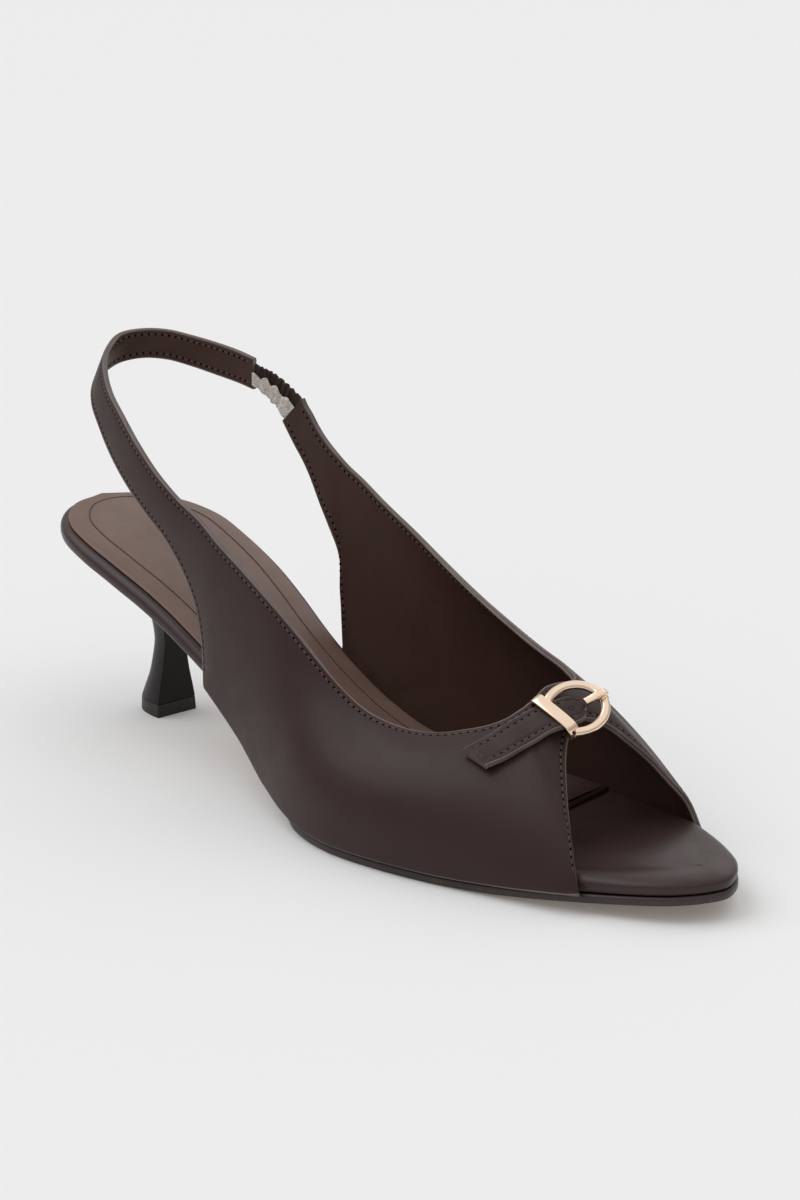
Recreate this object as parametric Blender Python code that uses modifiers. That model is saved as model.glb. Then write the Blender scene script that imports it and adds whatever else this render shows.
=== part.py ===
import bmesh
import bpy
import math
import numpy as np
from mathutils import Matrix, Vector

# Right shoe, metres, toe to +X, medial side to +Y, ground at Z 0.
NAME = "slingback_sandal"
LENGTH = 0.252
HALF_BALL = 0.039
STRAP_TOP = 0.1125
GAP = 0.0003
UPPER_GAP = 0.0005

WALL = 0.0016
FOOTBED_THICK = 0.0045
SOCK_THICK = 0.0009
OUTSOLE_THICK = 0.0023
SOCK_INSET = 0.0024
WRAP_DROP = 0.0012
WRAP_FROM = 0.48
WRAP_TO = 0.54

SIDE_STEPS = 40
ACROSS_STEPS = 4
OUTLINE_STEPS = 12
OUTLINE_LAP = 4
PROFILE_STEPS = 8
RIB_STEPS = 2
RIB_ROWS = 6
HEEL_STEPS = 22
TAIL_STEPS = 4
RING_STEPS = 18
BAR_STEPS = 2
CREST_BAND = 0.2
SHARP_ANGLE = math.radians(35.0)

HEEL_TIP_TALL = 0.0040
HEEL_FRONT = 0.0433
BREAST_GAP = 0.0030
SOCK_END_LATERAL = 0.775
SOCK_END_MEDIAL = 0.735

GORE_THICK = 0.0009
GORE_COVER_THICK = 0.0012
GORE_ELASTIC_TALL = 0.66
GORE_CLEAR = 0.0004
GORE_WAVES = 5
GORE_WAVE_HIGH = 0.00035
GORE_STEPS = 30

STRAP_WIDE = 0.0088
STRAP_THICK = 0.0016
STRAP_PLAY = 0.0021
WIRE_RADIUS = 0.0009
RING_RADIUS = STRAP_WIDE / 2 + STRAP_PLAY + WIRE_RADIUS
RING_PAST_HALF = math.radians(25.0)
BAR_HALF_LONG = 0.0067
BAR_SHIFT = 0.0018
BAR_GAP = 0.0005
BAR_WIDE = 0.0030
BAR_THICK = 0.0010
BAR_CLEAR = 0.0002
PRONG_RADIUS = 0.0008
STRAP_TILT = math.radians(33.0)
# Middle of the buckle: share of length, half ball width and strap top.
BUCKLE_AT = (0.8040, -0.0638, 0.3664)
BUCKLE_AHEAD = (0.927, 0.048, -0.373)
BUCKLE_ACROSS = (0.120, 0.902, 0.415)

COLOURS = {
    "leather": ((0.046, 0.033, 0.031), 0.42, 0.0),
    "sock": ((0.170, 0.118, 0.100), 0.55, 0.0),
    "sole": ((0.035, 0.025, 0.022), 0.60, 0.0),
    "heel": ((0.040, 0.029, 0.027), 0.45, 0.0),
    "tip": ((0.020, 0.018, 0.018), 0.65, 0.0),
    "elastic": ((0.560, 0.520, 0.470), 0.80, 0.0),
    "metal": ((0.780, 0.560, 0.420), 0.22, 1.0),
}

# Footbed outline: share of length, lateral and medial share of half ball width.
PLAN_COLUMNS = ("along", "lateral", "medial")
PLAN = (
    (0.000, 0.000, 0.000),
    (0.009, -0.273, 0.273),
    (0.033, -0.470, 0.470),
    (0.069, -0.620, 0.615),
    (0.114, -0.688, 0.696),
    (0.171, -0.709, 0.672),
    (0.232, -0.714, 0.609),
    (0.293, -0.714, 0.531),
    (0.358, -0.714, 0.462),
    (0.423, -0.777, 0.468),
    (0.488, -0.893, 0.538),
    (0.557, -1.024, 0.683),
    (0.618, -1.077, 0.788),
    (0.683, -1.040, 0.833),
    (0.748, -0.946, 0.820),
    (0.813, -0.820, 0.751),
    (0.870, -0.691, 0.657),
    (0.906, -0.594, 0.552),
    (0.943, -0.478, 0.410),
    (0.974, -0.342, 0.252),
    (0.992, -0.194, 0.102),
    (1.000, -0.039, -0.039),
)

# Underside of the outsole: share of length, share of strap top height.
PROFILE_COLUMNS = ("along", "up")
PROFILE = (
    (0.000, 0.473),
    (0.033, 0.462),
    (0.069, 0.448),
    (0.106, 0.429),
    (0.150, 0.403),
    (0.191, 0.376),
    (0.236, 0.344),
    (0.281, 0.304),
    (0.325, 0.256),
    (0.354, 0.222),
    (0.390, 0.174),
    (0.427, 0.126),
    (0.463, 0.082),
    (0.496, 0.048),
    (0.524, 0.025),
    (0.549, 0.011),
    (0.577, 0.003),
    (0.618, 0.000),
    (0.748, 0.000),
    (0.809, 0.006),
    (0.870, 0.019),
    (0.919, 0.029),
    (0.968, 0.039),
    (1.000, 0.045),
)

# How far the outsole edge stands outside the footbed edge, share of half ball width.
SOLE_EDGE_COLUMNS = ("along", "out")
SOLE_EDGE = (
    (0.000, -0.090),
    (0.440, -0.090),
    (0.500, -0.050),
    (0.550, 0.022),
    (0.860, 0.026),
    (0.930, 0.006),
    (1.000, 0.004),
)

# Edge of a wrapped plate, bottom to top: inset as share of plate height, share of height.
ROUND_EDGE = ((0.24, 0.0), (0.06, 0.18), (0.0, 0.5), (0.06, 0.82), (0.26, 1.0))
PLAIN_EDGE = ((0.10, 0.0), (0.0, 0.30), (0.0, 0.80), (0.15, 1.0))

# Extra reach of the upper's foot at its corners, share of the wall.
STAND_OUT_COLUMNS = ("along", "out")
STAND_OUT = (
    (0.340, 0.50),
    (0.380, 0.35),
    (0.430, 0.00),
    (0.800, 0.00),
    (0.860, 0.55),
    (0.900, 0.65),
)

# Upper, one row per rib from the strap end round the heel and over the vamp.
# Outer point, inner point (shares of length, half ball width, strap top), belly of the
# rib outwards, upwards and ahead, and 1 where the outer edge turns a corner. A rib whose outer
# point has no out and up stands on the sole edge.
RIB_COLUMNS = ("name", "along", "out", "up", "in_along", "in_out", "in_up",
               "belly_out", "belly_up", "belly_ahead", "corner")
RIBS = (
    ("strap end", 0.191, 0.623, 0.858, 0.192, 0.628, 0.940, 0.000, 0.000, 0.000, 1),
    ("strap", 0.171, 0.599, 0.868, 0.172, 0.604, 0.952, 0.005, 0.000, 0.000, 0),
    ("strap", 0.138, 0.536, 0.884, 0.139, 0.541, 0.969, 0.005, 0.000, 0.000, 0),
    ("strap", 0.108, 0.454, 0.901, 0.109, 0.460, 0.983, 0.005, 0.000, 0.000, 0),
    ("strap", 0.081, 0.347, 0.916, 0.083, 0.355, 0.996, 0.005, 0.000, 0.000, 0),
    ("strap", 0.063, 0.210, 0.922, 0.068, 0.218, 1.001, 0.005, 0.000, 0.000, 0),
    ("strap back", 0.051, 0.000, 0.914, 0.059, 0.000, 0.994, 0.000, 0.000, 0.000, 0),
    ("strap", 0.059, -0.202, 0.894, 0.071, -0.163, 0.974, 0.005, 0.000, 0.000, 0),
    ("strap", 0.075, -0.344, 0.871, 0.089, -0.294, 0.951, 0.005, 0.000, 0.000, 0),
    ("strap", 0.098, -0.460, 0.839, 0.114, -0.410, 0.921, 0.005, 0.000, 0.000, 0),
    ("strap", 0.129, -0.546, 0.793, 0.143, -0.510, 0.887, 0.005, 0.000, 0.000, 0),
    ("strap", 0.168, -0.623, 0.730, 0.181, -0.591, 0.843, 0.008, 0.000, 0.000, 0),
    ("strap", 0.211, -0.688, 0.672, 0.223, -0.659, 0.787, 0.008, 0.000, 0.000, 0),
    ("wing", 0.251, -0.730, 0.624, 0.264, -0.701, 0.733, 0.011, 0.000, 0.000, 0),
    ("wing", 0.291, -0.751, 0.572, 0.309, -0.730, 0.684, 0.013, 0.000, 0.000, 0),
    ("wing", 0.323, -0.767, 0.506, 0.350, -0.751, 0.649, 0.016, 0.000, 0.000, 0),
    ("wing", 0.344, -0.772, 0.432, 0.386, -0.770, 0.606, 0.024, 0.000, 0.000, 0),
    ("wing", 0.352, -0.770, 0.351, 0.419, -0.780, 0.570, 0.032, 0.000, 0.000, 0),
    ("lateral wing foot", 0.357, None, None, 0.451, -0.783, 0.531, 0.042, 0.000, 0.000, 1),
    ("lateral", 0.398, None, None, 0.484, -0.780, 0.488, 0.058, 0.002, 0.000, 0),
    ("lateral", 0.447, None, None, 0.516, -0.772, 0.443, 0.079, 0.005, 0.000, 0),
    ("lateral", 0.496, None, None, 0.547, -0.759, 0.394, 0.100, 0.011, 0.000, 0),
    ("lateral", 0.549, None, None, 0.577, -0.736, 0.346, 0.126, 0.020, 0.000, 0),
    ("lateral", 0.602, None, None, 0.610, -0.707, 0.308, 0.137, 0.027, 0.000, 0),
    ("lateral", 0.654, None, None, 0.642, -0.664, 0.290, 0.142, 0.033, 0.003, 0),
    ("lateral", 0.707, None, None, 0.671, -0.615, 0.286, 0.142, 0.038, 0.009, 0),
    ("lateral", 0.760, None, None, 0.695, -0.552, 0.291, 0.126, 0.042, 0.013, 0),
    ("lateral", 0.813, None, None, 0.715, -0.481, 0.303, 0.100, 0.043, 0.016, 0),
    ("lateral", 0.859, None, None, 0.732, -0.410, 0.315, 0.066, 0.035, 0.017, 0),
    ("lateral peep foot", 0.903, None, None, 0.742, -0.352, 0.326, 0.050, 0.029, 0.017, 1),
    ("lateral peep", 0.887, -0.620, 0.113, 0.749, -0.310, 0.337, 0.018, 0.022, 0.010, 0),
    ("lateral peep", 0.866, -0.512, 0.158, 0.754, -0.278, 0.348, 0.008, 0.016, 0.005, 0),
    ("lateral peep", 0.850, -0.428, 0.197, 0.759, -0.247, 0.359, 0.008, 0.013, 0.003, 0),
    ("lateral peep", 0.834, -0.336, 0.237, 0.762, -0.210, 0.370, 0.008, 0.010, 0.002, 0),
    ("lateral peep", 0.820, -0.247, 0.275, 0.763, -0.166, 0.379, 0.008, 0.007, 0.001, 0),
    ("bridge", 0.810, -0.158, 0.306, 0.762, -0.110, 0.388, 0.005, 0.006, 0.000, 0),
    ("bridge", 0.804, -0.060, 0.326, 0.760, -0.047, 0.393, 0.000, 0.006, 0.000, 0),
    ("bridge", 0.805, 0.016, 0.337, 0.760, 0.026, 0.395, 0.000, 0.006, 0.000, 0),
    ("bridge", 0.810, 0.095, 0.331, 0.761, 0.105, 0.394, 0.003, 0.006, 0.000, 0),
    ("bridge", 0.819, 0.179, 0.313, 0.762, 0.173, 0.392, 0.005, 0.006, 0.000, 0),
    ("medial peep", 0.832, 0.278, 0.277, 0.758, 0.236, 0.390, 0.008, 0.008, 0.002, 0),
    ("medial peep", 0.846, 0.399, 0.230, 0.748, 0.299, 0.392, 0.008, 0.005, 0.002, 0),
    ("medial peep", 0.855, 0.520, 0.178, 0.735, 0.347, 0.393, 0.011, 0.005, 0.002, 0),
    ("medial peep", 0.861, 0.649, 0.124, 0.722, 0.386, 0.396, 0.021, 0.006, 0.006, 0),
    ("medial peep foot", 0.868, None, None, 0.707, 0.418, 0.400, 0.055, 0.011, 0.014, 1),
    ("medial", 0.829, None, None, 0.689, 0.452, 0.404, 0.073, 0.014, 0.014, 0),
    ("medial", 0.785, None, None, 0.665, 0.494, 0.412, 0.081, 0.017, 0.014, 0),
    ("medial", 0.736, None, None, 0.638, 0.546, 0.421, 0.100, 0.023, 0.013, 0),
    ("medial", 0.685, None, None, 0.608, 0.604, 0.433, 0.113, 0.025, 0.012, 0),
    ("medial", 0.630, None, None, 0.573, 0.659, 0.452, 0.121, 0.021, 0.010, 0),
    ("medial", 0.573, None, None, 0.532, 0.707, 0.481, 0.121, 0.016, 0.008, 0),
    ("medial", 0.516, None, None, 0.488, 0.736, 0.523, 0.113, 0.012, 0.006, 0),
    ("medial", 0.459, None, None, 0.441, 0.749, 0.575, 0.092, 0.007, 0.004, 0),
    ("medial", 0.406, None, None, 0.394, 0.749, 0.627, 0.063, 0.003, 0.000, 0),
    ("medial wing foot", 0.358, None, None, 0.356, 0.741, 0.676, 0.039, 0.000, 0.000, 1),
    ("medial wing", 0.353, 0.538, 0.358, 0.333, 0.728, 0.705, 0.026, 0.000, 0.000, 0),
    ("medial wing", 0.342, 0.604, 0.439, 0.317, 0.714, 0.733, 0.018, 0.000, 0.000, 0),
    ("medial wing", 0.321, 0.651, 0.526, 0.302, 0.707, 0.760, 0.011, 0.000, 0.000, 0),
    ("medial wing", 0.295, 0.678, 0.603, 0.290, 0.699, 0.789, 0.008, 0.000, 0.000, 0),
    ("medial wing", 0.272, 0.683, 0.681, 0.280, 0.691, 0.820, 0.005, 0.000, 0.000, 0),
    ("medial wing", 0.251, 0.672, 0.741, 0.272, 0.686, 0.841, 0.003, 0.000, 0.000, 0),
    ("medial wing end", 0.237, 0.657, 0.789, 0.268, 0.683, 0.856, 0.000, 0.000, 0.000, 1),
)

# Heel from the tip up: height share between tip and seat, front and depth as shares of the
# heel's front, half width share of half ball width, roundness, share of the seat's slope.
HEEL_COLUMNS = ("up", "front", "depth", "half", "round", "slope")
HEEL = (
    (0.000, 0.884, 0.320, 0.180, 2.2, 0.00),
    (0.092, 0.884, 0.279, 0.160, 2.2, 0.00),
    (0.189, 0.884, 0.238, 0.137, 2.2, 0.00),
    (0.313, 0.884, 0.209, 0.115, 2.2, 0.00),
    (0.434, 0.890, 0.198, 0.103, 2.2, 0.10),
    (0.558, 0.895, 0.221, 0.118, 2.2, 0.20),
    (0.679, 0.913, 0.291, 0.173, 2.2, 0.35),
    (0.790, 0.930, 0.424, 0.271, 2.3, 0.55),
    (0.876, 0.959, 0.610, 0.400, 2.3, 0.75),
    (0.941, 0.983, 0.814, 0.539, 2.4, 0.90),
    (0.978, 0.994, 0.936, 0.620, 2.4, 1.00),
    (1.000, 1.000, 0.965, 0.650, 2.4, 1.00),
)

# Heel tip: share of its height, size against the heel's foot.
TIP_COLUMNS = ("up", "grow")
TIP = (
    (0.000, 1.02),
    (0.075, 1.04),
    (1.000, 1.00),
)

# Buckle strap, middle line from the buckle's middle: shares of length, half ball width and
# strap top, and its tilt as a share of the buckle's slope.
TAIL_COLUMNS = ("along", "out", "up", "tilt")
TAIL = (
    (0.0016, 0.0538, 0.0053, 0.66),
    (-0.0026, -0.0450, -0.0060, 0.66),
    (-0.0084, -0.1280, -0.0118, 0.66),
    (-0.0168, -0.2240, -0.0172, 0.68),
    (-0.0270, -0.3513, -0.0364, 0.62),
    (-0.0345, -0.4872, -0.0622, 0.45),
    (-0.0429, -0.6333, -0.0862, 0.27),
)

# Keeper bar seen from the front: share of its half length, height as share of its lift.
BAR_COLUMNS = ("reach", "up")
BAR = (
    (-1.00, -0.6),
    (-0.98, 1.1),
    (-0.84, 1.90),
    (0.00, 2.00),
    (0.80, 1.75),
    (0.96, 0.8),
    (1.00, -0.8),
)

# Prong in the buckle's own plane, shares of the ring radius: ahead, medial, above.
PRONG_COLUMNS = ("ahead", "medial", "above")
PRONG = (
    (0.30, 0.95, 0.250),
    (0.27, 0.78, 0.270),
    (0.20, 0.50, 0.245),
    (0.15, 0.30, 0.230),
)

# Gore between the strap end and the medial wing: lower edge, then upper edge.
GORE_COLUMNS = ("along", "out", "up", "high_along", "high_out", "high_up")
GORE = (
    (0.1943, 0.624, 0.863, 0.1945, 0.629, 0.922),
    (0.2160, 0.650, 0.836, 0.2200, 0.664, 0.902),
    (0.2372, 0.656, 0.7975, 0.2640, 0.682, 0.8525),
)


def clear_scene():
    for item in list(bpy.data.objects):
        bpy.data.objects.remove(item, do_unlink=True)


def make_material(name):
    colour, rough, metal = COLOURS[name]
    material = bpy.data.materials.new(name)
    material.use_nodes = True
    shader = material.node_tree.nodes["Principled BSDF"]
    shader.inputs["Base Color"].default_value = (*colour, 1.0)
    shader.inputs["Roughness"].default_value = rough
    shader.inputs["Metallic"].default_value = metal
    material.diffuse_color = (*colour, 1.0)
    return material


def add_object(name, verts, faces, slot, outward=True):
    mesh = bpy.data.meshes.new(name)
    mesh.from_pydata([tuple(v) for v in verts], [], faces)
    if outward:
        work = bmesh.new()
        work.from_mesh(mesh)
        bmesh.ops.recalc_face_normals(work, faces=work.faces)
        work.to_mesh(mesh)
        work.free()
    mesh.validate()
    mesh.polygons.foreach_set("use_smooth", [True] * len(mesh.polygons))
    mesh.set_sharp_from_angle(angle=SHARP_ANGLE)
    mesh.materials.append(MATERIALS[slot])
    item = bpy.data.objects.new(name, mesh)
    BODY.objects.link(item)
    return item


def through(points, steps, corners=None):
    """Smooth curve through the points, with a kink at each corner."""
    points = np.asarray(points, float)
    count = len(points)
    corners = corners or [0] * count
    into = np.zeros_like(points)
    leave = np.zeros_like(points)
    for i in range(count):
        back = points[i] - points[max(i - 1, 0)]
        ahead = points[min(i + 1, count - 1)] - points[i]
        if i == 0 or i == count - 1 or corners[i]:
            into[i] = back if i else ahead
            leave[i] = ahead if i < count - 1 else back
        else:
            len_back = np.linalg.norm(back) + 1e-9
            len_ahead = np.linalg.norm(ahead) + 1e-9
            lean = (back / len_back * len_ahead + ahead / len_ahead * len_back)
            lean = lean / (len_back + len_ahead)
            into[i] = lean * len_back
            leave[i] = lean * len_ahead
    out = []
    for i in range(count - 1):
        for k in range(steps):
            t = k / steps
            a = 2 * t ** 3 - 3 * t ** 2 + 1
            b = t ** 3 - 2 * t ** 2 + t
            c = -2 * t ** 3 + 3 * t ** 2
            d = t ** 3 - t ** 2
            out.append(a * points[i] + b * leave[i] + c * points[i + 1] + d * into[i + 1])
    out.append(points[-1])
    return np.array(out)


def sole_lines():
    """Dense footbed outline, one line per side from heel to toe, and the profile."""
    plan = np.array(PLAN)
    along = plan[:, 0] * LENGTH
    lateral = np.stack([along, plan[:, 1] * HALF_BALL], 1)
    medial = np.stack([along, plan[:, 2] * HALF_BALL], 1)
    lap = OUTLINE_LAP
    loop = np.concatenate([medial[lap:0:-1], lateral, medial[-2:-2 - lap:-1]])
    dense = through(loop, OUTLINE_STEPS)
    first = OUTLINE_LAP * OUTLINE_STEPS
    last = first + (len(lateral) - 1) * OUTLINE_STEPS
    lateral_line = dense[first:last + 1]
    loop = np.concatenate([lateral[lap:0:-1], medial, lateral[-2:-2 - lap:-1]])
    dense = through(loop, OUTLINE_STEPS)
    medial_line = dense[first:last + 1]
    profile = np.array(PROFILE) * (LENGTH, STRAP_TOP)
    return lateral_line, medial_line, np.maximum(through(profile, PROFILE_STEPS), 0.0)


def ground(x):
    return float(np.interp(x, PROFILE_LINE[:, 0], PROFILE_LINE[:, 1]))


def sole_top(x):
    return ground(x) + OUTSOLE_THICK


def seat(x):
    return sole_top(x) + GAP


def footbed_top(x):
    return seat(x) + FOOTBED_THICK


def moved_out(line, distance, side):
    """Line pushed outwards along its own normal."""
    step = np.gradient(line, axis=0)
    step = step / np.linalg.norm(step, axis=1)[:, None]
    normal = np.stack([-step[:, 1], step[:, 0]], 1) * side
    if np.isscalar(distance):
        distance = np.full(len(line), distance)
    return line + normal * distance[:, None]


def between(line, start, end, steps):
    """Even samples of a line from share start to share end of the length."""
    run = np.concatenate([[0.0], np.cumsum(np.linalg.norm(np.diff(line, axis=0), axis=1))])
    low = 0.0 if start <= 0.0 else np.interp(start * LENGTH, line[:, 0], run)
    high = run[-1] if end >= 1.0 else np.interp(end * LENGTH, line[:, 0], run)
    spots = np.linspace(low, high, steps + 1)
    return np.stack([np.interp(spots, run, line[:, 0]), np.interp(spots, run, line[:, 1])], 1)


def zip_rows(first, second):
    """Triangles and quads between two rows of vertex numbers."""
    faces = []
    if len(first) == len(second):
        for k in range(len(first) - 1):
            faces.append((first[k], first[k + 1], second[k + 1], second[k]))
        return faces
    if len(first) > len(second):
        return [tuple(reversed(face)) for face in zip_rows(second, first)]
    ends = len(first) - 1
    owner = [round(k * ends / (len(second) - 1)) for k in range(len(second))]
    for k in range(len(second) - 1):
        if owner[k] == owner[k + 1]:
            faces.append((first[owner[k]], second[k + 1], second[k]))
        else:
            faces.append((first[owner[k]], first[owner[k + 1]], second[k + 1], second[k]))
    return faces


def plate(name, lateral, medial, low, high, edge, slot, tips):
    """Closed plate between two height functions, its edge shaped by the edge rows."""
    tall = high(LENGTH * 0.5) - low(LENGTH * 0.5)
    loop = [tuple(p) for p in lateral]
    loop += [tuple(p) for p in medial[::-1]]
    if tips[1]:
        loop.pop(len(lateral))
    if tips[0]:
        loop.pop()
    loop = np.array(loop)
    step = np.roll(loop, -1, axis=0) - np.roll(loop, 1, axis=0)
    step = step / np.linalg.norm(step, axis=1)[:, None]
    outward = np.stack([step[:, 1], -step[:, 0]], 1)
    verts = []
    rings = []
    for inset, share in edge:
        ring = loop - outward * inset * tall
        rings.append(range(len(verts), len(verts) + len(ring)))
        for x, y in ring:
            verts.append((x, y, low(x) + (high(x) - low(x)) * share))
    faces = []
    size = len(loop)
    for lower, upper in zip(rings, rings[1:]):
        for k in range(size):
            n = (k + 1) % size
            faces.append((lower[k], lower[n], upper[n], upper[k]))
    for ring, level in ((rings[0], low), (rings[-1], high)):
        rows = []
        last = len(lateral) - 1
        for k in range(last + 1):
            left = ring[k]
            right = ring[(size - k) % size] if tips[0] else ring[size - 1 - k]
            if left == right:
                rows.append([left])
                continue
            row = [left]
            inner = ACROSS_STEPS if 0 < k < last else 1
            for j in range(1, inner):
                share = j / inner
                x = verts[left][0] * (1 - share) + verts[right][0] * share
                y = verts[left][1] * (1 - share) + verts[right][1] * share
                row.append(len(verts))
                verts.append((x, y, level(x)))
            row.append(right)
            rows.append(row)
        for first, second in zip(rows, rows[1:]):
            faces += zip_rows(first, second)
    return add_object(name, verts, faces, slot)


def make_footbed():
    lateral = between(LATERAL, 0.0, 1.0, SIDE_STEPS)
    medial = between(MEDIAL, 0.0, 1.0, SIDE_STEPS)
    plate("footbed", lateral, medial, seat, footbed_top, ROUND_EDGE, "leather", (True, True))


def make_outsole():
    edge = np.array(SOLE_EDGE)
    start = (HEEL_FRONT + BREAST_GAP) / LENGTH
    lines = []
    for line, side in ((LATERAL, -1), (MEDIAL, 1)):
        out = np.interp(line[:, 0], edge[:, 0] * LENGTH, edge[:, 1] * HALF_BALL)
        lines.append(between(moved_out(line, out, side), start, 1.0, SIDE_STEPS))
    lines[1][-1] = lines[0][-1]
    plate("outsole", lines[0], lines[1], ground, sole_top, PLAIN_EDGE, "sole", (False, True))


def sock_low(x):
    return footbed_top(x) + GAP


def sock_high(x):
    return sock_low(x) + SOCK_THICK


def make_sock():
    lateral = between(moved_out(LATERAL, -SOCK_INSET, -1), 0.0, SOCK_END_LATERAL, SIDE_STEPS)
    medial = between(moved_out(MEDIAL, -SOCK_INSET, 1), 0.0, SOCK_END_MEDIAL, SIDE_STEPS)
    medial[0] = lateral[0]
    plate("sock", lateral, medial, sock_low, sock_high, PLAIN_EDGE, "sock", (True, False))


def heel_ring(front, depth, half, power):
    points = []
    for k in range(HEEL_STEPS + 1):
        angle = -math.pi / 2 + math.pi * k / HEEL_STEPS
        ca = abs(math.cos(angle)) ** (2.0 / power)
        sa = abs(math.sin(angle)) ** (2.0 / power) * math.copysign(1.0, angle)
        points.append((front - depth * ca, half * sa))
    return points


def make_heel():
    verts = []
    rings = []
    foot = HEEL_TIP_TALL + GAP
    tall = seat(HEEL_FRONT) - GAP - foot
    for up, front, depth, half, power, slope in HEEL:
        ring = heel_ring(front * HEEL_FRONT, depth * HEEL_FRONT, half * HALF_BALL, power)
        rings.append(range(len(verts), len(verts) + len(ring)))
        front_seat = seat(front * HEEL_FRONT)
        for x, y in ring:
            verts.append((x, y, foot + up * tall + slope * (seat(x) - front_seat)))
    faces = []
    size = len(rings[0])
    for lower, upper in zip(rings, rings[1:]):
        for k in range(size):
            n = (k + 1) % size
            faces.append((lower[k], lower[n], upper[n], upper[k]))
    half_size = size // 2
    for ring in (rings[0], rings[-1]):
        rows = []
        for k in range(half_size):
            rows.append([ring[k], ring[size - 1 - k]])
        rows.append([ring[half_size]])
        for first, second in zip(rows, rows[1:]):
            faces += zip_rows(first, second)
    add_object("heel", verts, faces, "heel")


def make_heel_tip():
    row = dict(zip(HEEL_COLUMNS, HEEL[0]))
    front = row["front"] * HEEL_FRONT
    depth = row["depth"] * HEEL_FRONT
    ring = heel_ring(front, depth, row["half"] * HALF_BALL, row["round"])
    centre = front - depth / 2
    verts = []
    for up, grow in TIP:
        for x, y in ring:
            verts.append((centre + (x - centre) * grow, y * grow, up * HEEL_TIP_TALL))
    size = len(ring)
    faces = [tuple(reversed(range(size))), tuple(range(2 * size, 3 * size))]
    for level in range(len(TIP) - 1):
        for k in range(size):
            n = (k + 1) % size
            low = level * size
            faces.append((low + k, low + n, low + size + n, low + size + k))
    add_object("heel_tip", verts, faces, "tip")


def rib_curves():
    """Outer line, inner line and belly of the upper, sampled rib by rib."""
    sizes = np.array((LENGTH, HALF_BALL, STRAP_TOP))
    stand = np.array(STAND_OUT) * (LENGTH, WALL)
    lines = {}
    for line, side in ((LATERAL, -1), (MEDIAL, 1)):
        reach = UPPER_GAP + WALL + np.interp(line[:, 0], stand[:, 0], stand[:, 1])
        lines[side] = moved_out(line, reach, side)

    def sole_point(x, side):
        y = float(np.interp(x, lines[side][:, 0], lines[side][:, 1]))
        drop = np.interp(x / LENGTH, (WRAP_FROM, WRAP_TO), (WRAP_DROP, 0.0))
        return (x, y, seat(x) - float(drop))

    outer = []
    inner = []
    belly = []
    corners = []
    on_sole = []
    for row in RIBS:
        rib = dict(zip(RIB_COLUMNS, row))
        side = 1 if rib["name"].startswith("medial") else -1
        if rib["out"] is None:
            outer.append(sole_point(rib["along"] * LENGTH, side))
        else:
            outer.append(np.array((rib["along"], rib["out"], rib["up"])) * sizes)
        on_sole.append(side if rib["out"] is None else 0)
        inner.append(np.array((rib["in_along"], rib["in_out"], rib["in_up"])) * sizes)
        belly.append(np.array((rib["belly_ahead"], rib["belly_out"], rib["belly_up"])) * sizes)
        corners.append(rib["corner"])
    outer = through(outer, RIB_STEPS, corners)
    for k in range(len(outer)):
        low = k // RIB_STEPS
        high = min(low + (1 if k % RIB_STEPS else 0), len(on_sole) - 1)
        if on_sole[low] and on_sole[low] == on_sole[high]:
            outer[k] = sole_point(outer[k][0], on_sole[low])
    inner = through(inner, RIB_STEPS)
    belly = through(belly, RIB_STEPS)
    return outer, inner, belly


def make_upper():
    outer, inner, belly = rib_curves()
    verts = []
    for low, high, bulge in zip(outer, inner, belly):
        middle = (low + high) / 2
        side = math.copysign(1.0, low[1] + high[1])
        blend = min(1.0, abs(low[1] + high[1]) / (HALF_BALL * CREST_BAND))
        lift = bulge * (1.0, side * blend, 1.0)
        control = middle + 2 * lift
        for k in range(RIB_ROWS + 1):
            t = k / RIB_ROWS
            verts.append((1 - t) ** 2 * low + 2 * t * (1 - t) * control + t * t * high)
    wide = RIB_ROWS + 1
    faces = []
    for i in range(len(outer) - 1):
        for k in range(RIB_ROWS):
            a = i * wide + k
            faces.append((a, a + wide, a + wide + 1, a + 1))
    item = add_object("upper", verts, faces, "leather", outward=False)
    shell = item.modifiers.new("wall", "SOLIDIFY")
    shell.thickness = WALL
    shell.offset = -1.0
    shell.use_even_offset = False
    return item


def ribbon(name, low_edge, high_edge, thick, slot, shift=0.0):
    """Flat closed band between two edge lines, moved along its own normal by shift."""
    low_edge = np.asarray(low_edge, float)
    high_edge = np.asarray(high_edge, float)
    run = np.gradient((low_edge + high_edge) / 2, axis=0)
    normal = np.cross(run, high_edge - low_edge)
    normal = normal / np.linalg.norm(normal, axis=1)[:, None]
    near = (shift - thick / 2) * normal
    far = (shift + thick / 2) * normal
    verts = []
    for k in range(len(low_edge)):
        verts += [low_edge[k] + near[k], high_edge[k] + near[k]]
        verts += [high_edge[k] + far[k], low_edge[k] + far[k]]
    last = len(verts) - 4
    faces = [(3, 2, 1, 0), (last, last + 1, last + 2, last + 3)]
    for a in range(0, last, 4):
        for k in range(4):
            n = (k + 1) % 4
            faces.append((a + k, a + n, a + 4 + n, a + 4 + k))
    return add_object(name, verts, faces, slot)


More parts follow.
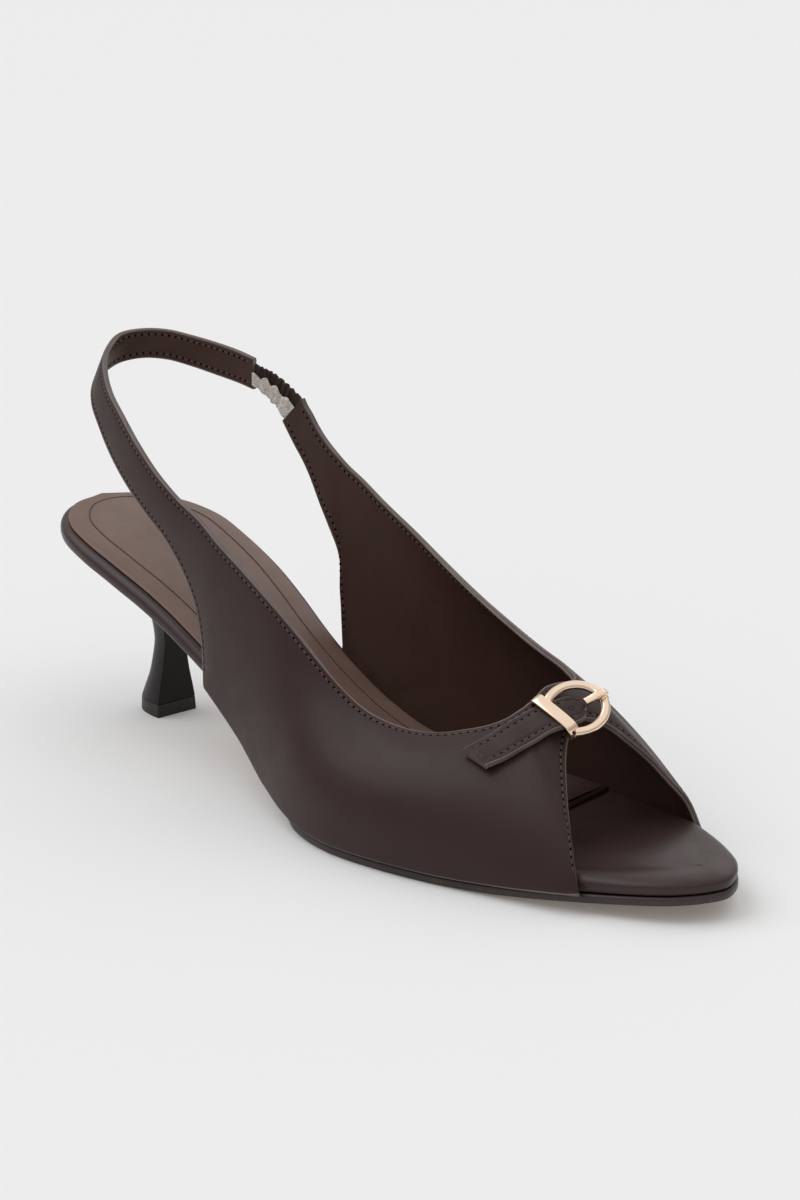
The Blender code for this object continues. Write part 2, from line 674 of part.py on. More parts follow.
def make_gore():
    sizes = np.array((LENGTH, HALF_BALL, STRAP_TOP) * 2)
    rows = through(np.array(GORE) * sizes, GORE_STEPS // (len(GORE) - 1))
    low = rows[:, :3]
    high = rows[:, 3:]
    turn = np.linspace(0.0, 2 * math.pi * GORE_WAVES, len(rows))
    lift = np.stack([0 * turn, 0 * turn, GORE_WAVE_HIGH * np.sin(turn)], 1)
    pull = np.stack([0 * turn, GORE_WAVE_HIGH * np.cos(turn), 0 * turn], 1)
    middle = low + (high - low) * GORE_ELASTIC_TALL
    apart = (GORE_THICK + GORE_COVER_THICK) / 2 + GORE_CLEAR
    ribbon("gore_elastic", low - lift, middle + lift, GORE_THICK, "elastic", apart)
    ribbon("gore_cover", low + lift + pull, high + lift + pull, GORE_COVER_THICK, "leather")


def make_buckle_strap():
    rows = through(TAIL, TAIL_STEPS)
    middle = (rows[:, :3] + BUCKLE_AT) * (LENGTH, HALF_BALL, STRAP_TOP)
    tilt = rows[:, 3] * STRAP_TILT
    across = np.stack([np.cos(tilt), 0 * tilt, -np.sin(tilt)], 1) * STRAP_WIDE / 2
    ribbon("buckle_strap", middle - across, middle + across, STRAP_THICK, "leather")


def buckle_point(ahead, medial, above):
    """Point in the buckle's plane, which leans towards the toe and the lateral side."""
    first = np.array(BUCKLE_AHEAD)
    second = np.array(BUCKLE_ACROSS)
    middle = np.array(BUCKLE_AT) * (LENGTH, HALF_BALL, STRAP_TOP)
    return Vector(middle + first * ahead + second * medial + np.cross(first, second) * above)


def tube(name, points, radius, slot):
    """Round bar along a line, from a bevelled curve with closed ends."""
    curve = bpy.data.curves.new(name + "_line", "CURVE")
    curve.dimensions = "3D"
    curve.bevel_depth = radius
    curve.bevel_resolution = 2
    curve.use_fill_caps = True
    line = curve.splines.new("POLY")
    line.points.add(len(points) - 1)
    for spot, point in zip(line.points, points):
        spot.co = (*point, 1.0)
    holder = bpy.data.objects.new(name + "_line", curve)
    BODY.objects.link(holder)
    bpy.context.view_layer.update()
    mesh = bpy.data.meshes.new_from_object(holder)
    bpy.data.objects.remove(holder, do_unlink=True)
    work = bmesh.new()
    work.from_mesh(mesh)
    bmesh.ops.remove_doubles(work, verts=work.verts, dist=0.000001)
    verts = [v.co.copy() for v in work.verts]
    faces = [tuple(v.index for v in face.verts) for face in work.faces]
    work.free()
    bpy.data.meshes.remove(mesh)
    return add_object(name, verts, faces, slot)


def make_buckle():
    points = []
    for k in range(RING_STEPS + 1):
        angle = -RING_PAST_HALF + (math.pi + 2 * RING_PAST_HALF) * k / RING_STEPS
        points.append(buckle_point(RING_RADIUS * math.cos(angle), RING_RADIUS * math.sin(angle), 0.0))
    tube("buckle_ring", points, WIRE_RADIUS, "metal")
    low = []
    high = []
    near = -RING_RADIUS * math.sin(RING_PAST_HALF) - WIRE_RADIUS * math.cos(RING_PAST_HALF) - BAR_GAP
    lift = STRAP_THICK / 2 + BAR_CLEAR
    for reach, up in through(BAR, BAR_STEPS):
        ahead = reach * BAR_HALF_LONG - BAR_SHIFT
        low.append(buckle_point(ahead, near - BAR_WIDE, up * lift))
        high.append(buckle_point(ahead, near, up * lift))
    ribbon("buckle_bar", low, high, BAR_THICK, "metal")
    line = [buckle_point(*(share * RING_RADIUS for share in row)) for row in PRONG]
    tube("buckle_prong", line, PRONG_RADIUS, "metal")


def centre_on_origin():
    """Put the middle of the footprint box on the origin, ground at Z 0."""
    graph = bpy.context.evaluated_depsgraph_get()
    graph.update()
    corners = []
    for item in BODY.objects:
        corners += [tuple(corner) for corner in item.evaluated_get(graph).bound_box]
    corners = np.array(corners)
    middle = (corners.min(axis=0) + corners.max(axis=0)) / 2
    move = Matrix.Translation((-middle[0], -middle[1], -corners[:, 2].min()))
    for item in BODY.objects:
        item.data.transform(move)


clear_scene()
BODY = bpy.data.collections.new(NAME)
bpy.context.scene.collection.children.link(BODY)
MATERIALS = {name: make_material(name) for name in COLOURS}
LATERAL, MEDIAL, PROFILE_LINE = sole_lines()
make_footbed()
make_outsole()
make_sock()
make_heel()
make_heel_tip()
make_upper()
make_gore()
make_buckle_strap()
make_buckle()
centre_on_origin()
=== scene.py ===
import math

import bmesh
import bpy
import numpy as np
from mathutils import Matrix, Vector


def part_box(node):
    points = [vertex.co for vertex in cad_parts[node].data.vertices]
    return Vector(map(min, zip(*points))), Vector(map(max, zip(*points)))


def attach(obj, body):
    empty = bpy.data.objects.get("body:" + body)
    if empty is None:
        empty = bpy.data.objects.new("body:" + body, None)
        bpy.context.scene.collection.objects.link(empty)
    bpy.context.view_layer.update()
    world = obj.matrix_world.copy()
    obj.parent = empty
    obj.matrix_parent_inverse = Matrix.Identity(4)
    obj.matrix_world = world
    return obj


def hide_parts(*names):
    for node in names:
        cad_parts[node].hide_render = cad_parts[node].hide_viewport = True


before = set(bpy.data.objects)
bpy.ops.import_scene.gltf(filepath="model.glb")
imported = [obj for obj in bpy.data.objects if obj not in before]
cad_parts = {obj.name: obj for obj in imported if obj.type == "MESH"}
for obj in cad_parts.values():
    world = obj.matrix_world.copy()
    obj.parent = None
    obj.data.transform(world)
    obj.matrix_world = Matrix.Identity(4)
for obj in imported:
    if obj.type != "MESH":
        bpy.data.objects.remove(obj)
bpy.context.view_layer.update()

# Right sandal, metres, toe to +X, medial side to +Y. The sizes repeat those of the solids.
LENGTH = 0.252
HALF_BALL = 0.039
STRAP_TOP = 0.1125
SIZES = np.array((LENGTH, HALF_BALL, STRAP_TOP))
GAP = 0.0003
UPPER_GAP = 0.0005
WALL = 0.0016
FOOTBED_THICK = 0.0045
SOCK_THICK = 0.0009
OUTSOLE_THICK = 0.0023
SOCK_INSET = 0.0024
WRAP_DROP = 0.0012
WRAP_FROM = 0.48
WRAP_TO = 0.54
HEEL_TIP_TALL = 0.0040
HEEL_FRONT = 0.0433
BREAST_GAP = 0.0030
SOCK_END_LATERAL = 0.775
SOCK_END_MEDIAL = 0.735
STRAP_WIDE = 0.0088
STRAP_THICK = 0.0016
RING_RADIUS = 0.0074
BAR_THICK = 0.0010
STRAP_TILT = math.radians(33.0)
BUCKLE_AT = np.array((0.8040, -0.0638, 0.3664))
BUCKLE_AHEAD = np.array((0.927, 0.048, -0.373))
BUCKLE_ACROSS = np.array((0.120, 0.902, 0.415))
BUCKLE_ABOVE = np.cross(BUCKLE_AHEAD, BUCKLE_ACROSS)
MM = 0.001

# Buckle wire, keeper and prong as they are drawn, and the hole under the prong.
RING_WIRE = (1.22 * MM, 0.95 * MM)
RING_SPAN = (-44.0, 213.0)
KEEPER_WIDE = 0.0031
KEEPER_HALF = 0.0066
KEEPER_SHIFT = 0.0018
PRONG_WIDE = 0.0019
PRONG_THICK = 0.0011
PRONG_LOOP_LONG = 0.0023
STRAP_HOLE_AT = 0.0034
STRAP_HOLE_RADIUS = 0.0006

# Crown of the sock and of the toe pad before it, and the sock's finer stitches.
SOCK_CROWN = 0.0007
TOE_PAD_CROWN = 0.0019
SOCK_STITCH_IN = 0.0062
SOCK_PITCH = 0.0017
SOCK_STITCH_LONG = 0.0013
SOCK_THREAD_RADIUS = 0.00016
SOCK_HOLE = 0.00020

# Stitches: pitch, length, thread radius, distance from the edge, radius of a needle hole.
STITCH_PITCH = 0.0020
STITCH_LONG = 0.0014
THREAD = 0.00021
STITCH_INSET = 0.0016
HOLE = 0.00044

# Footbed outline: share of length, lateral and medial share of half ball width.
PLAN = (
    (0.0, 0.0, 0.0),
    (0.009, -0.273, 0.273),
    (0.033, -0.47, 0.47),
    (0.069, -0.62, 0.615),
    (0.114, -0.688, 0.696),
    (0.171, -0.709, 0.672),
    (0.232, -0.714, 0.609),
    (0.293, -0.714, 0.531),
    (0.358, -0.714, 0.462),
    (0.423, -0.777, 0.468),
    (0.488, -0.893, 0.538),
    (0.557, -1.024, 0.683),
    (0.618, -1.077, 0.788),
    (0.683, -1.04, 0.833),
    (0.748, -0.946, 0.82),
    (0.813, -0.82, 0.751),
    (0.87, -0.691, 0.657),
    (0.906, -0.594, 0.552),
    (0.943, -0.478, 0.41),
    (0.974, -0.342, 0.252),
    (0.992, -0.194, 0.102),
    (1.0, -0.039, -0.039),
)

# Underside of the outsole: share of length, share of strap top height.
PROFILE = (
    (0.0, 0.473),
    (0.033, 0.462),
    (0.069, 0.448),
    (0.106, 0.429),
    (0.15, 0.403),
    (0.191, 0.376),
    (0.236, 0.344),
    (0.281, 0.304),
    (0.325, 0.256),
    (0.354, 0.222),
    (0.39, 0.174),
    (0.427, 0.126),
    (0.463, 0.082),
    (0.496, 0.048),
    (0.524, 0.025),
    (0.549, 0.011),
    (0.577, 0.003),
    (0.618, 0.0),
    (0.748, 0.0),
    (0.809, 0.006),
    (0.87, 0.019),
    (0.919, 0.029),
    (0.968, 0.039),
    (1.0, 0.045),
)

# How far the outsole edge stands outside the footbed edge, share of half ball width.
SOLE_EDGE = (
    (0.0, -0.09),
    (0.44, -0.09),
    (0.5, -0.05),
    (0.55, 0.022),
    (0.86, 0.026),
    (0.93, 0.006),
    (1.0, 0.004),
)

# Extra reach of the upper's foot at its corners, share of the wall.
STAND_OUT = (
    (0.34, 0.5),
    (0.38, 0.35),
    (0.43, 0.0),
    (0.8, 0.0),
    (0.86, 0.55),
    (0.9, 0.65),
)

# Upper ribs: outer point, inner point, belly outwards, upwards and ahead, corner.
# Past the medial wing foot two rows differ from the solid's by up to 3 mm, for a plain rear edge.
RIBS = (
    ("strap end", 0.191, 0.623, 0.858, 0.192, 0.628, 0.94, 0.0, 0.0, 0.0, 1),
    ("strap", 0.171, 0.599, 0.868, 0.172, 0.604, 0.952, 0.005, 0.0, 0.0, 0),
    ("strap", 0.138, 0.536, 0.884, 0.139, 0.541, 0.969, 0.005, 0.0, 0.0, 0),
    ("strap", 0.108, 0.454, 0.901, 0.109, 0.46, 0.983, 0.005, 0.0, 0.0, 0),
    ("strap", 0.081, 0.347, 0.916, 0.083, 0.355, 0.996, 0.005, 0.0, 0.0, 0),
    ("strap", 0.063, 0.21, 0.922, 0.068, 0.218, 1.001, 0.005, 0.0, 0.0, 0),
    ("strap back", 0.051, 0.0, 0.914, 0.059, 0.0, 0.994, 0.0, 0.0, 0.0, 0),
    ("strap", 0.059, -0.202, 0.894, 0.071, -0.163, 0.974, 0.005, 0.0, 0.0, 0),
    ("strap", 0.075, -0.344, 0.871, 0.089, -0.294, 0.951, 0.005, 0.0, 0.0, 0),
    ("strap", 0.098, -0.46, 0.839, 0.114, -0.41, 0.921, 0.005, 0.0, 0.0, 0),
    ("strap", 0.129, -0.546, 0.793, 0.143, -0.51, 0.887, 0.005, 0.0, 0.0, 0),
    ("strap", 0.168, -0.623, 0.73, 0.181, -0.591, 0.843, 0.008, 0.0, 0.0, 0),
    ("strap", 0.211, -0.688, 0.672, 0.223, -0.659, 0.787, 0.008, 0.0, 0.0, 0),
    ("wing", 0.251, -0.73, 0.624, 0.264, -0.701, 0.733, 0.011, 0.0, 0.0, 0),
    ("wing", 0.291, -0.751, 0.572, 0.309, -0.73, 0.684, 0.013, 0.0, 0.0, 0),
    ("wing", 0.323, -0.767, 0.506, 0.35, -0.751, 0.649, 0.016, 0.0, 0.0, 0),
    ("wing", 0.344, -0.772, 0.432, 0.386, -0.77, 0.606, 0.024, 0.0, 0.0, 0),
    ("wing", 0.352, -0.77, 0.351, 0.419, -0.78, 0.57, 0.032, 0.0, 0.0, 0),
    ("lateral wing foot", 0.357, None, None, 0.451, -0.783, 0.531, 0.042, 0.0, 0.0, 1),
    ("lateral", 0.398, None, None, 0.484, -0.78, 0.488, 0.058, 0.002, 0.0, 0),
    ("lateral", 0.447, None, None, 0.516, -0.772, 0.443, 0.079, 0.005, 0.0, 0),
    ("lateral", 0.496, None, None, 0.547, -0.759, 0.394, 0.1, 0.011, 0.0, 0),
    ("lateral", 0.549, None, None, 0.577, -0.736, 0.346, 0.126, 0.02, 0.0, 0),
    ("lateral", 0.602, None, None, 0.61, -0.707, 0.308, 0.137, 0.027, 0.0, 0),
    ("lateral", 0.654, None, None, 0.642, -0.664, 0.29, 0.142, 0.033, 0.003, 0),
    ("lateral", 0.707, None, None, 0.671, -0.615, 0.286, 0.142, 0.038, 0.009, 0),
    ("lateral", 0.76, None, None, 0.695, -0.552, 0.291, 0.126, 0.042, 0.013, 0),
    ("lateral", 0.813, None, None, 0.715, -0.481, 0.303, 0.1, 0.043, 0.016, 0),
    ("lateral", 0.859, None, None, 0.732, -0.41, 0.315, 0.066, 0.035, 0.017, 0),
    ("lateral peep foot", 0.903, None, None, 0.742, -0.352, 0.326, 0.05, 0.029, 0.017, 1),
    ("lateral peep", 0.887, -0.62, 0.113, 0.749, -0.31, 0.337, 0.018, 0.022, 0.01, 0),
    ("lateral peep", 0.866, -0.512, 0.158, 0.754, -0.278, 0.348, 0.008, 0.016, 0.005, 0),
    ("lateral peep", 0.85, -0.428, 0.197, 0.759, -0.247, 0.359, 0.008, 0.013, 0.003, 0),
    ("lateral peep", 0.834, -0.336, 0.237, 0.762, -0.21, 0.37, 0.008, 0.01, 0.002, 0),
    ("lateral peep", 0.82, -0.247, 0.275, 0.763, -0.166, 0.379, 0.008, 0.007, 0.001, 0),
    ("bridge", 0.81, -0.158, 0.306, 0.762, -0.11, 0.388, 0.005, 0.006, 0.0, 0),
    ("bridge", 0.804, -0.06, 0.326, 0.76, -0.047, 0.393, 0.0, 0.006, 0.0, 0),
    ("bridge", 0.805, 0.016, 0.337, 0.76, 0.026, 0.395, 0.0, 0.006, 0.0, 0),
    ("bridge", 0.81, 0.095, 0.331, 0.761, 0.105, 0.394, 0.003, 0.006, 0.0, 0),
    ("bridge", 0.819, 0.179, 0.313, 0.762, 0.173, 0.392, 0.005, 0.006, 0.0, 0),
    ("medial peep", 0.832, 0.278, 0.277, 0.758, 0.236, 0.39, 0.008, 0.008, 0.002, 0),
    ("medial peep", 0.846, 0.399, 0.23, 0.748, 0.299, 0.392, 0.008, 0.005, 0.002, 0),
    ("medial peep", 0.855, 0.52, 0.178, 0.735, 0.347, 0.393, 0.011, 0.005, 0.002, 0),
    ("medial peep", 0.861, 0.649, 0.124, 0.722, 0.386, 0.396, 0.021, 0.006, 0.006, 0),
    ("medial peep foot", 0.868, None, None, 0.707, 0.418, 0.4, 0.055, 0.011, 0.014, 1),
    ("medial", 0.829, None, None, 0.689, 0.452, 0.404, 0.073, 0.014, 0.014, 0),
    ("medial", 0.785, None, None, 0.665, 0.494, 0.412, 0.081, 0.017, 0.014, 0),
    ("medial", 0.736, None, None, 0.638, 0.546, 0.421, 0.1, 0.023, 0.013, 0),
    ("medial", 0.685, None, None, 0.608, 0.604, 0.433, 0.113, 0.025, 0.012, 0),
    ("medial", 0.63, None, None, 0.573, 0.659, 0.452, 0.121, 0.021, 0.01, 0),
    ("medial", 0.573, None, None, 0.532, 0.707, 0.481, 0.121, 0.016, 0.008, 0),
    ("medial", 0.516, None, None, 0.488, 0.736, 0.523, 0.113, 0.012, 0.006, 0),
    ("medial", 0.459, None, None, 0.441, 0.749, 0.575, 0.092, 0.007, 0.004, 0),
    ("medial", 0.406, None, None, 0.394, 0.749, 0.627, 0.063, 0.003, 0.0, 0),
    ("medial wing foot", 0.358, None, None, 0.356, 0.741, 0.676, 0.039, 0.0, 0.0, 1),
    ("medial wing", 0.345, 0.591, 0.351, 0.333, 0.728, 0.705, 0.032, 0.0, 0.0, 0),
    ("medial wing", 0.337, 0.636, 0.434, 0.317, 0.714, 0.733, 0.021, 0.0, 0.0, 0),
    ("medial wing", 0.321, 0.651, 0.526, 0.302, 0.707, 0.76, 0.011, 0.0, 0.0, 0),
    ("medial wing", 0.295, 0.678, 0.603, 0.29, 0.699, 0.789, 0.008, 0.0, 0.0, 0),
    ("medial wing", 0.272, 0.683, 0.681, 0.28, 0.691, 0.82, 0.005, 0.0, 0.0, 0),
    ("medial wing", 0.251, 0.672, 0.741, 0.272, 0.686, 0.841, 0.003, 0.0, 0.0, 0),
    ("medial wing end", 0.237, 0.657, 0.789, 0.268, 0.683, 0.856, 0.0, 0.0, 0.0, 1),
)

# Heel from the tip up: height share, front, depth, half width, roundness, seat slope.
HEEL = (
    (0.0, 0.884, 0.32, 0.18, 2.2, 0.0),
    (0.092, 0.884, 0.279, 0.16, 2.2, 0.0),
    (0.189, 0.884, 0.238, 0.137, 2.2, 0.0),
    (0.313, 0.884, 0.209, 0.115, 2.2, 0.0),
    (0.434, 0.89, 0.198, 0.103, 2.2, 0.1),
    (0.558, 0.895, 0.221, 0.118, 2.2, 0.2),
    (0.679, 0.913, 0.291, 0.173, 2.2, 0.35),
    (0.79, 0.93, 0.424, 0.271, 2.3, 0.55),
    (0.876, 0.959, 0.61, 0.4, 2.3, 0.75),
    (0.941, 0.983, 0.814, 0.539, 2.4, 0.9),
    (0.978, 0.994, 0.936, 0.62, 2.4, 1.0),
    (1.0, 1.0, 0.965, 0.65, 2.4, 1.0),
)

# Buckle strap, middle line from the buckle's middle, and its tilt.
TAIL = (
    (0.0016, 0.0538, 0.0053, 0.66),
    (-0.0026, -0.045, -0.006, 0.66),
    (-0.0084, -0.128, -0.0118, 0.66),
    (-0.0168, -0.224, -0.0172, 0.68),
    (-0.027, -0.3513, -0.0364, 0.62),
    (-0.0345, -0.4872, -0.0622, 0.45),
    (-0.0429, -0.6333, -0.0862, 0.27),
)

# Gore between the strap end and the medial wing: lower edge, then upper edge.
GORE = (
    (0.1943, 0.624, 0.863, 0.1945, 0.629, 0.922),
    (0.216, 0.65, 0.836, 0.22, 0.664, 0.902),
    (0.2372, 0.656, 0.7975, 0.264, 0.682, 0.8525),
)


def through(points, steps, corners=None):
    """Smooth curve through the points, with a kink at each corner."""
    points = np.asarray(points, float)
    count = len(points)
    corners = corners or [0] * count
    into = np.zeros_like(points)
    leave = np.zeros_like(points)
    for i in range(count):
        back = points[i] - points[max(i - 1, 0)]
        ahead = points[min(i + 1, count - 1)] - points[i]
        if i == 0 or i == count - 1 or corners[i]:
            into[i] = back if i else ahead
            leave[i] = ahead if i < count - 1 else back
        else:
            len_back = np.linalg.norm(back) + 1e-9
            len_ahead = np.linalg.norm(ahead) + 1e-9
            lean = (back / len_back * len_ahead + ahead / len_ahead * len_back)
            lean = lean / (len_back + len_ahead)
            into[i] = lean * len_back
            leave[i] = lean * len_ahead
    out = []
    for i in range(count - 1):
        for k in range(steps):
            t = k / steps
            a = 2 * t ** 3 - 3 * t ** 2 + 1
            b = t ** 3 - 2 * t ** 2 + t
            c = -2 * t ** 3 + 3 * t ** 2
            d = t ** 3 - t ** 2
            out.append(a * points[i] + b * leave[i] + c * points[i + 1] + d * into[i + 1])
    out.append(points[-1])
    return np.array(out)


def sole_lines():
    """Dense footbed outline, one line per side from heel to toe, and the profile."""
    plan = np.array(PLAN)
    along = plan[:, 0] * LENGTH
    lateral = np.stack([along, plan[:, 1] * HALF_BALL], 1)
    medial = np.stack([along, plan[:, 2] * HALF_BALL], 1)
    loop = np.concatenate([medial[4:0:-1], lateral, medial[-2:-6:-1]])
    dense = through(loop, 12)
    first = 4 * 12
    last = first + (len(lateral) - 1) * 12
    lateral_line = dense[first:last + 1]
    loop = np.concatenate([lateral[4:0:-1], medial, lateral[-2:-6:-1]])
    medial_line = through(loop, 12)[first:last + 1]
    profile = np.array(PROFILE) * (LENGTH, STRAP_TOP)
    return lateral_line, medial_line, np.maximum(through(profile, 8), 0.0)


LATERAL, MEDIAL, PROFILE_LINE = sole_lines()
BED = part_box("footbed")
SHIFT = np.array((BED[0].x - LATERAL[:, 0].min(), BED[0].y - LATERAL[:, 1].min(), 0.0))


def ground(x):
    return np.interp(x, PROFILE_LINE[:, 0], PROFILE_LINE[:, 1])


def seat(x):
    return ground(x) + OUTSOLE_THICK + GAP


def footbed_top(x):
    return seat(x) + FOOTBED_THICK


def sock_top(x):
    return footbed_top(x) + GAP + SOCK_THICK


def moved_out(line, distance, side):
    """Line pushed outwards along its own normal."""
    step = np.gradient(line, axis=0)
    step = step / np.linalg.norm(step, axis=1)[:, None]
    normal = np.stack([-step[:, 1], step[:, 0]], 1) * side
    distance = np.broadcast_to(distance, len(line))
    return line + normal * distance[:, None]


def between(line, start, end, steps):
    """Even samples of a line from share start to share end of the length."""
    run = run_along(line)
    low = 0.0 if start <= 0.0 else np.interp(start * LENGTH, line[:, 0], run)
    high = run[-1] if end >= 1.0 else np.interp(end * LENGTH, line[:, 0], run)
    spots = np.linspace(low, high, steps + 1)
    return at_spots(spots, run, line)


def unit(v):
    v = np.asarray(v, float)
    return v / np.maximum(np.linalg.norm(v, axis=-1, keepdims=True), 1e-12)


def smooth_step(x, low, high):
    t = np.clip((x - low) / (high - low), 0.0, 1.0)
    return t * t * (3 - 2 * t)


def add_piece(name, verts, faces, materials, index=None, stands_for=(), sharp=40.0):
    """Mesh object in the row frame, riding on the sandal."""
    verts = np.asarray(verts, float) + SHIFT
    mesh = bpy.data.meshes.new(name)
    mesh.from_pydata(verts.tolist(), [], faces)
    if index is not None:
        mesh.polygons.foreach_set("material_index", np.asarray(index, np.int32))
    mesh.polygons.foreach_set("use_smooth", [True] * len(mesh.polygons))
    mesh.set_sharp_from_angle(angle=math.radians(sharp))
    for material in materials:
        mesh.materials.append(material)
    item = bpy.data.objects.new(name, mesh)
    bpy.context.scene.collection.objects.link(item)
    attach(item, "root")
    if stands_for:
        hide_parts(*stands_for)
    return item


def face_outwards(item):
    work = bmesh.new()
    work.from_mesh(item.data)
    bmesh.ops.recalc_face_normals(work, faces=work.faces)
    work.to_mesh(item.data)
    work.free()


def run_along(points):
    """Length of the line up to each of its points."""
    return np.concatenate([[0.0], np.cumsum(np.linalg.norm(np.diff(points, axis=0), axis=1))])


def at_spots(spots, run, points):
    """The line's columns, read at the given lengths."""
    return np.stack([np.interp(spots, run, points[:, j]) for j in range(points.shape[1])], 1)


def tube_faces(rows, columns, start=0):
    """Quads of rings stored one after another, each ring closed."""
    faces = []
    for i in range(rows - 1):
        for k in range(columns):
            a = start + i * columns + k
            b = start + i * columns + (k + 1) % columns
            faces.append((a, b, b + columns, a + columns))
    return faces


class Nodes:
    """Small helper for building a material's node tree."""

    def __init__(self, name):
        self.material = bpy.data.materials.new(name)
        self.material.use_nodes = True
        self.tree = self.material.node_tree
        self.shader = self.tree.nodes["Principled BSDF"]
        self.coords = self.tree.nodes.new("ShaderNodeTexCoord").outputs["Object"]

    def link(self, source, target):
        self.tree.links.new(source, target)

    def noise(self, scale, detail=3.0, rough=0.55, stretch=None, twist=0.0):
        node = self.tree.nodes.new("ShaderNodeTexNoise")
        node.inputs["Scale"].default_value = scale
        node.inputs["Detail"].default_value = detail
        node.inputs["Roughness"].default_value = rough
        node.inputs["Distortion"].default_value = twist
        self.link(self.mapped(stretch), node.inputs["Vector"])
        return node.outputs["Fac"]

    def mapped(self, stretch):
        if stretch is None:
            return self.coords
        node = self.tree.nodes.new("ShaderNodeMapping")
        node.inputs["Scale"].default_value = stretch
        self.link(self.coords, node.inputs["Vector"])
        return node.outputs["Vector"]

    def cells(self, scale, stretch=None):
        node = self.tree.nodes.new("ShaderNodeTexVoronoi")
        node.inputs["Scale"].default_value = scale
        self.link(self.mapped(stretch), node.inputs["Vector"])
        return node.outputs["Distance"]

    def ramp(self, value, low, high, out_low=0.0, out_high=1.0):
        node = self.tree.nodes.new("ShaderNodeMapRange")
        node.inputs["From Min"].default_value = low
        node.inputs["From Max"].default_value = high
        node.inputs["To Min"].default_value = out_low
        node.inputs["To Max"].default_value = out_high
        self.link(value, node.inputs["Value"])
        return node.outputs["Result"]

    def maths(self, kind, a, b):
        node = self.tree.nodes.new("ShaderNodeMath")
        node.operation = kind
        for slot, value in zip(node.inputs, (a, b)):
            if isinstance(value, (int, float)):
                slot.default_value = value
            else:
                self.link(value, slot)
        return node.outputs["Value"]

    def mix(self, share, first, second):
        node = self.tree.nodes.new("ShaderNodeMix")
        node.data_type = "RGBA"
        self.link(share, node.inputs[0])
        for key, colour in ((6, first), (7, second)):
            if isinstance(colour, tuple):
                node.inputs[key].default_value = (*colour, 1.0)
            else:
                self.link(colour, node.inputs[key])
        return node.outputs[2]

    def bump(self, height, strength, distance):
        node = self.tree.nodes.new("ShaderNodeBump")
        node.inputs["Strength"].default_value = strength
        node.inputs["Distance"].default_value = distance
        self.link(height, node.inputs["Height"])
        self.link(node.outputs["Normal"], self.shader.inputs["Normal"])

    def finish(self, colour=None, rough=None, **fixed):
        if colour is not None:
            self.link(colour, self.shader.inputs["Base Color"])
        if rough is not None:
            self.link(rough, self.shader.inputs["Roughness"])
        for key, value in fixed.items():
            self.shader.inputs[key.replace("_", " ")].default_value = value
        return self.material


def leather(name, light, dark, rough, grain=0.30, coat=0.0, shine=0.30, painted_shade=None):
    """Smooth finished leather: soft mottling, fine pores, slight change of gloss.

    painted_shade: painted shade of the shoe's inside; where along the shoe the colour begins and stops to
    darken, and the dark colour.
    """
    n = Nodes(name)
    blotch = n.ramp(n.noise(38.0, 4.0, 0.6, twist=0.6), 0.35, 0.68)
    colour = n.mix(blotch, dark, light)
    # Painted shade: the colour darkens along x towards the toe, for the shade inside the shoe.
    if painted_shade:
        split = n.tree.nodes.new("ShaderNodeSeparateXYZ")
        n.link(n.coords, split.inputs[0])
        colour = n.mix(n.ramp(split.outputs[0], painted_shade[0], painted_shade[1]), colour, painted_shade[2])
    pores = n.ramp(n.cells(1500.0), 0.0, 0.55, 0.0, 1.0)
    fine = n.noise(3600.0, 2.0)
    height = n.maths("ADD", n.maths("MULTIPLY", pores, 0.7), n.maths("MULTIPLY", fine, 0.5))
    n.bump(height, grain, 0.00006)
    gloss = n.ramp(n.noise(160.0, 3.0), 0.3, 0.7, rough - 0.04, rough + 0.04)
    return n.finish(colour, gloss, Specular_IOR_Level=shine, Coat_Weight=coat, Coat_Roughness=0.24)


def plain(name, light, dark, rough, scale, grain, metal=0.0, **fixed):
    """Fine grained finish of any kind, with slight changes of colour and gloss."""
    n = Nodes(name)
    colour = n.mix(n.ramp(n.noise(scale * 0.3, 3.0), 0.35, 0.65), dark, light)
    n.bump(n.noise(scale * 6, 3.0), grain, 0.00005)
    gloss = n.ramp(n.noise(scale, 3.0), 0.3, 0.7, rough * 0.9, rough * 1.1)
    return n.finish(colour, gloss, Metallic=metal, **fixed)


def elastic_cloth():
    """White rib elastic: fine cords along it and cross threads."""
    n = Nodes("elastic_cloth")
    cords = n.cells(1900.0, stretch=(0.35, 0.35, 1.6))
    fluff = n.noise(5200.0, 2.0)
    height = n.maths("ADD", n.maths("MULTIPLY", cords, 0.9), n.maths("MULTIPLY", fluff, 0.4))
    colour = n.mix(n.ramp(cords, 0.1, 0.6), (0.78, 0.75, 0.70), (0.50, 0.46, 0.41))
    n.bump(height, 0.55, 0.00016)
    return n.finish(colour, None, Roughness=0.85, Sheen_Weight=0.3, Sheen_Roughness=0.5)


LEATHER = leather("upper_leather", (0.0400, 0.0208, 0.0188), (0.0335, 0.0172, 0.0155), 0.43, 0.22, 0.04, 0.20)
LINING = leather("lining_leather", (0.060, 0.0285, 0.0215), (0.049, 0.0225, 0.0170), 0.46, 0.28, 0.0, 0.25)
# Edge paint, made lighter than the leather: partly the paint's own colour, partly a painted highlight along
# the rims.
EDGE_PAINT_AND_HIGHLIGHT = plain("edge_paint_and_highlight", (0.150, 0.110, 0.100), (0.105, 0.077, 0.070), 0.36, 300.0, 0.2)
THREAD_MAT = plain("thread", (0.092, 0.050, 0.043), (0.064, 0.034, 0.029), 0.60, 2200.0, 0.5)
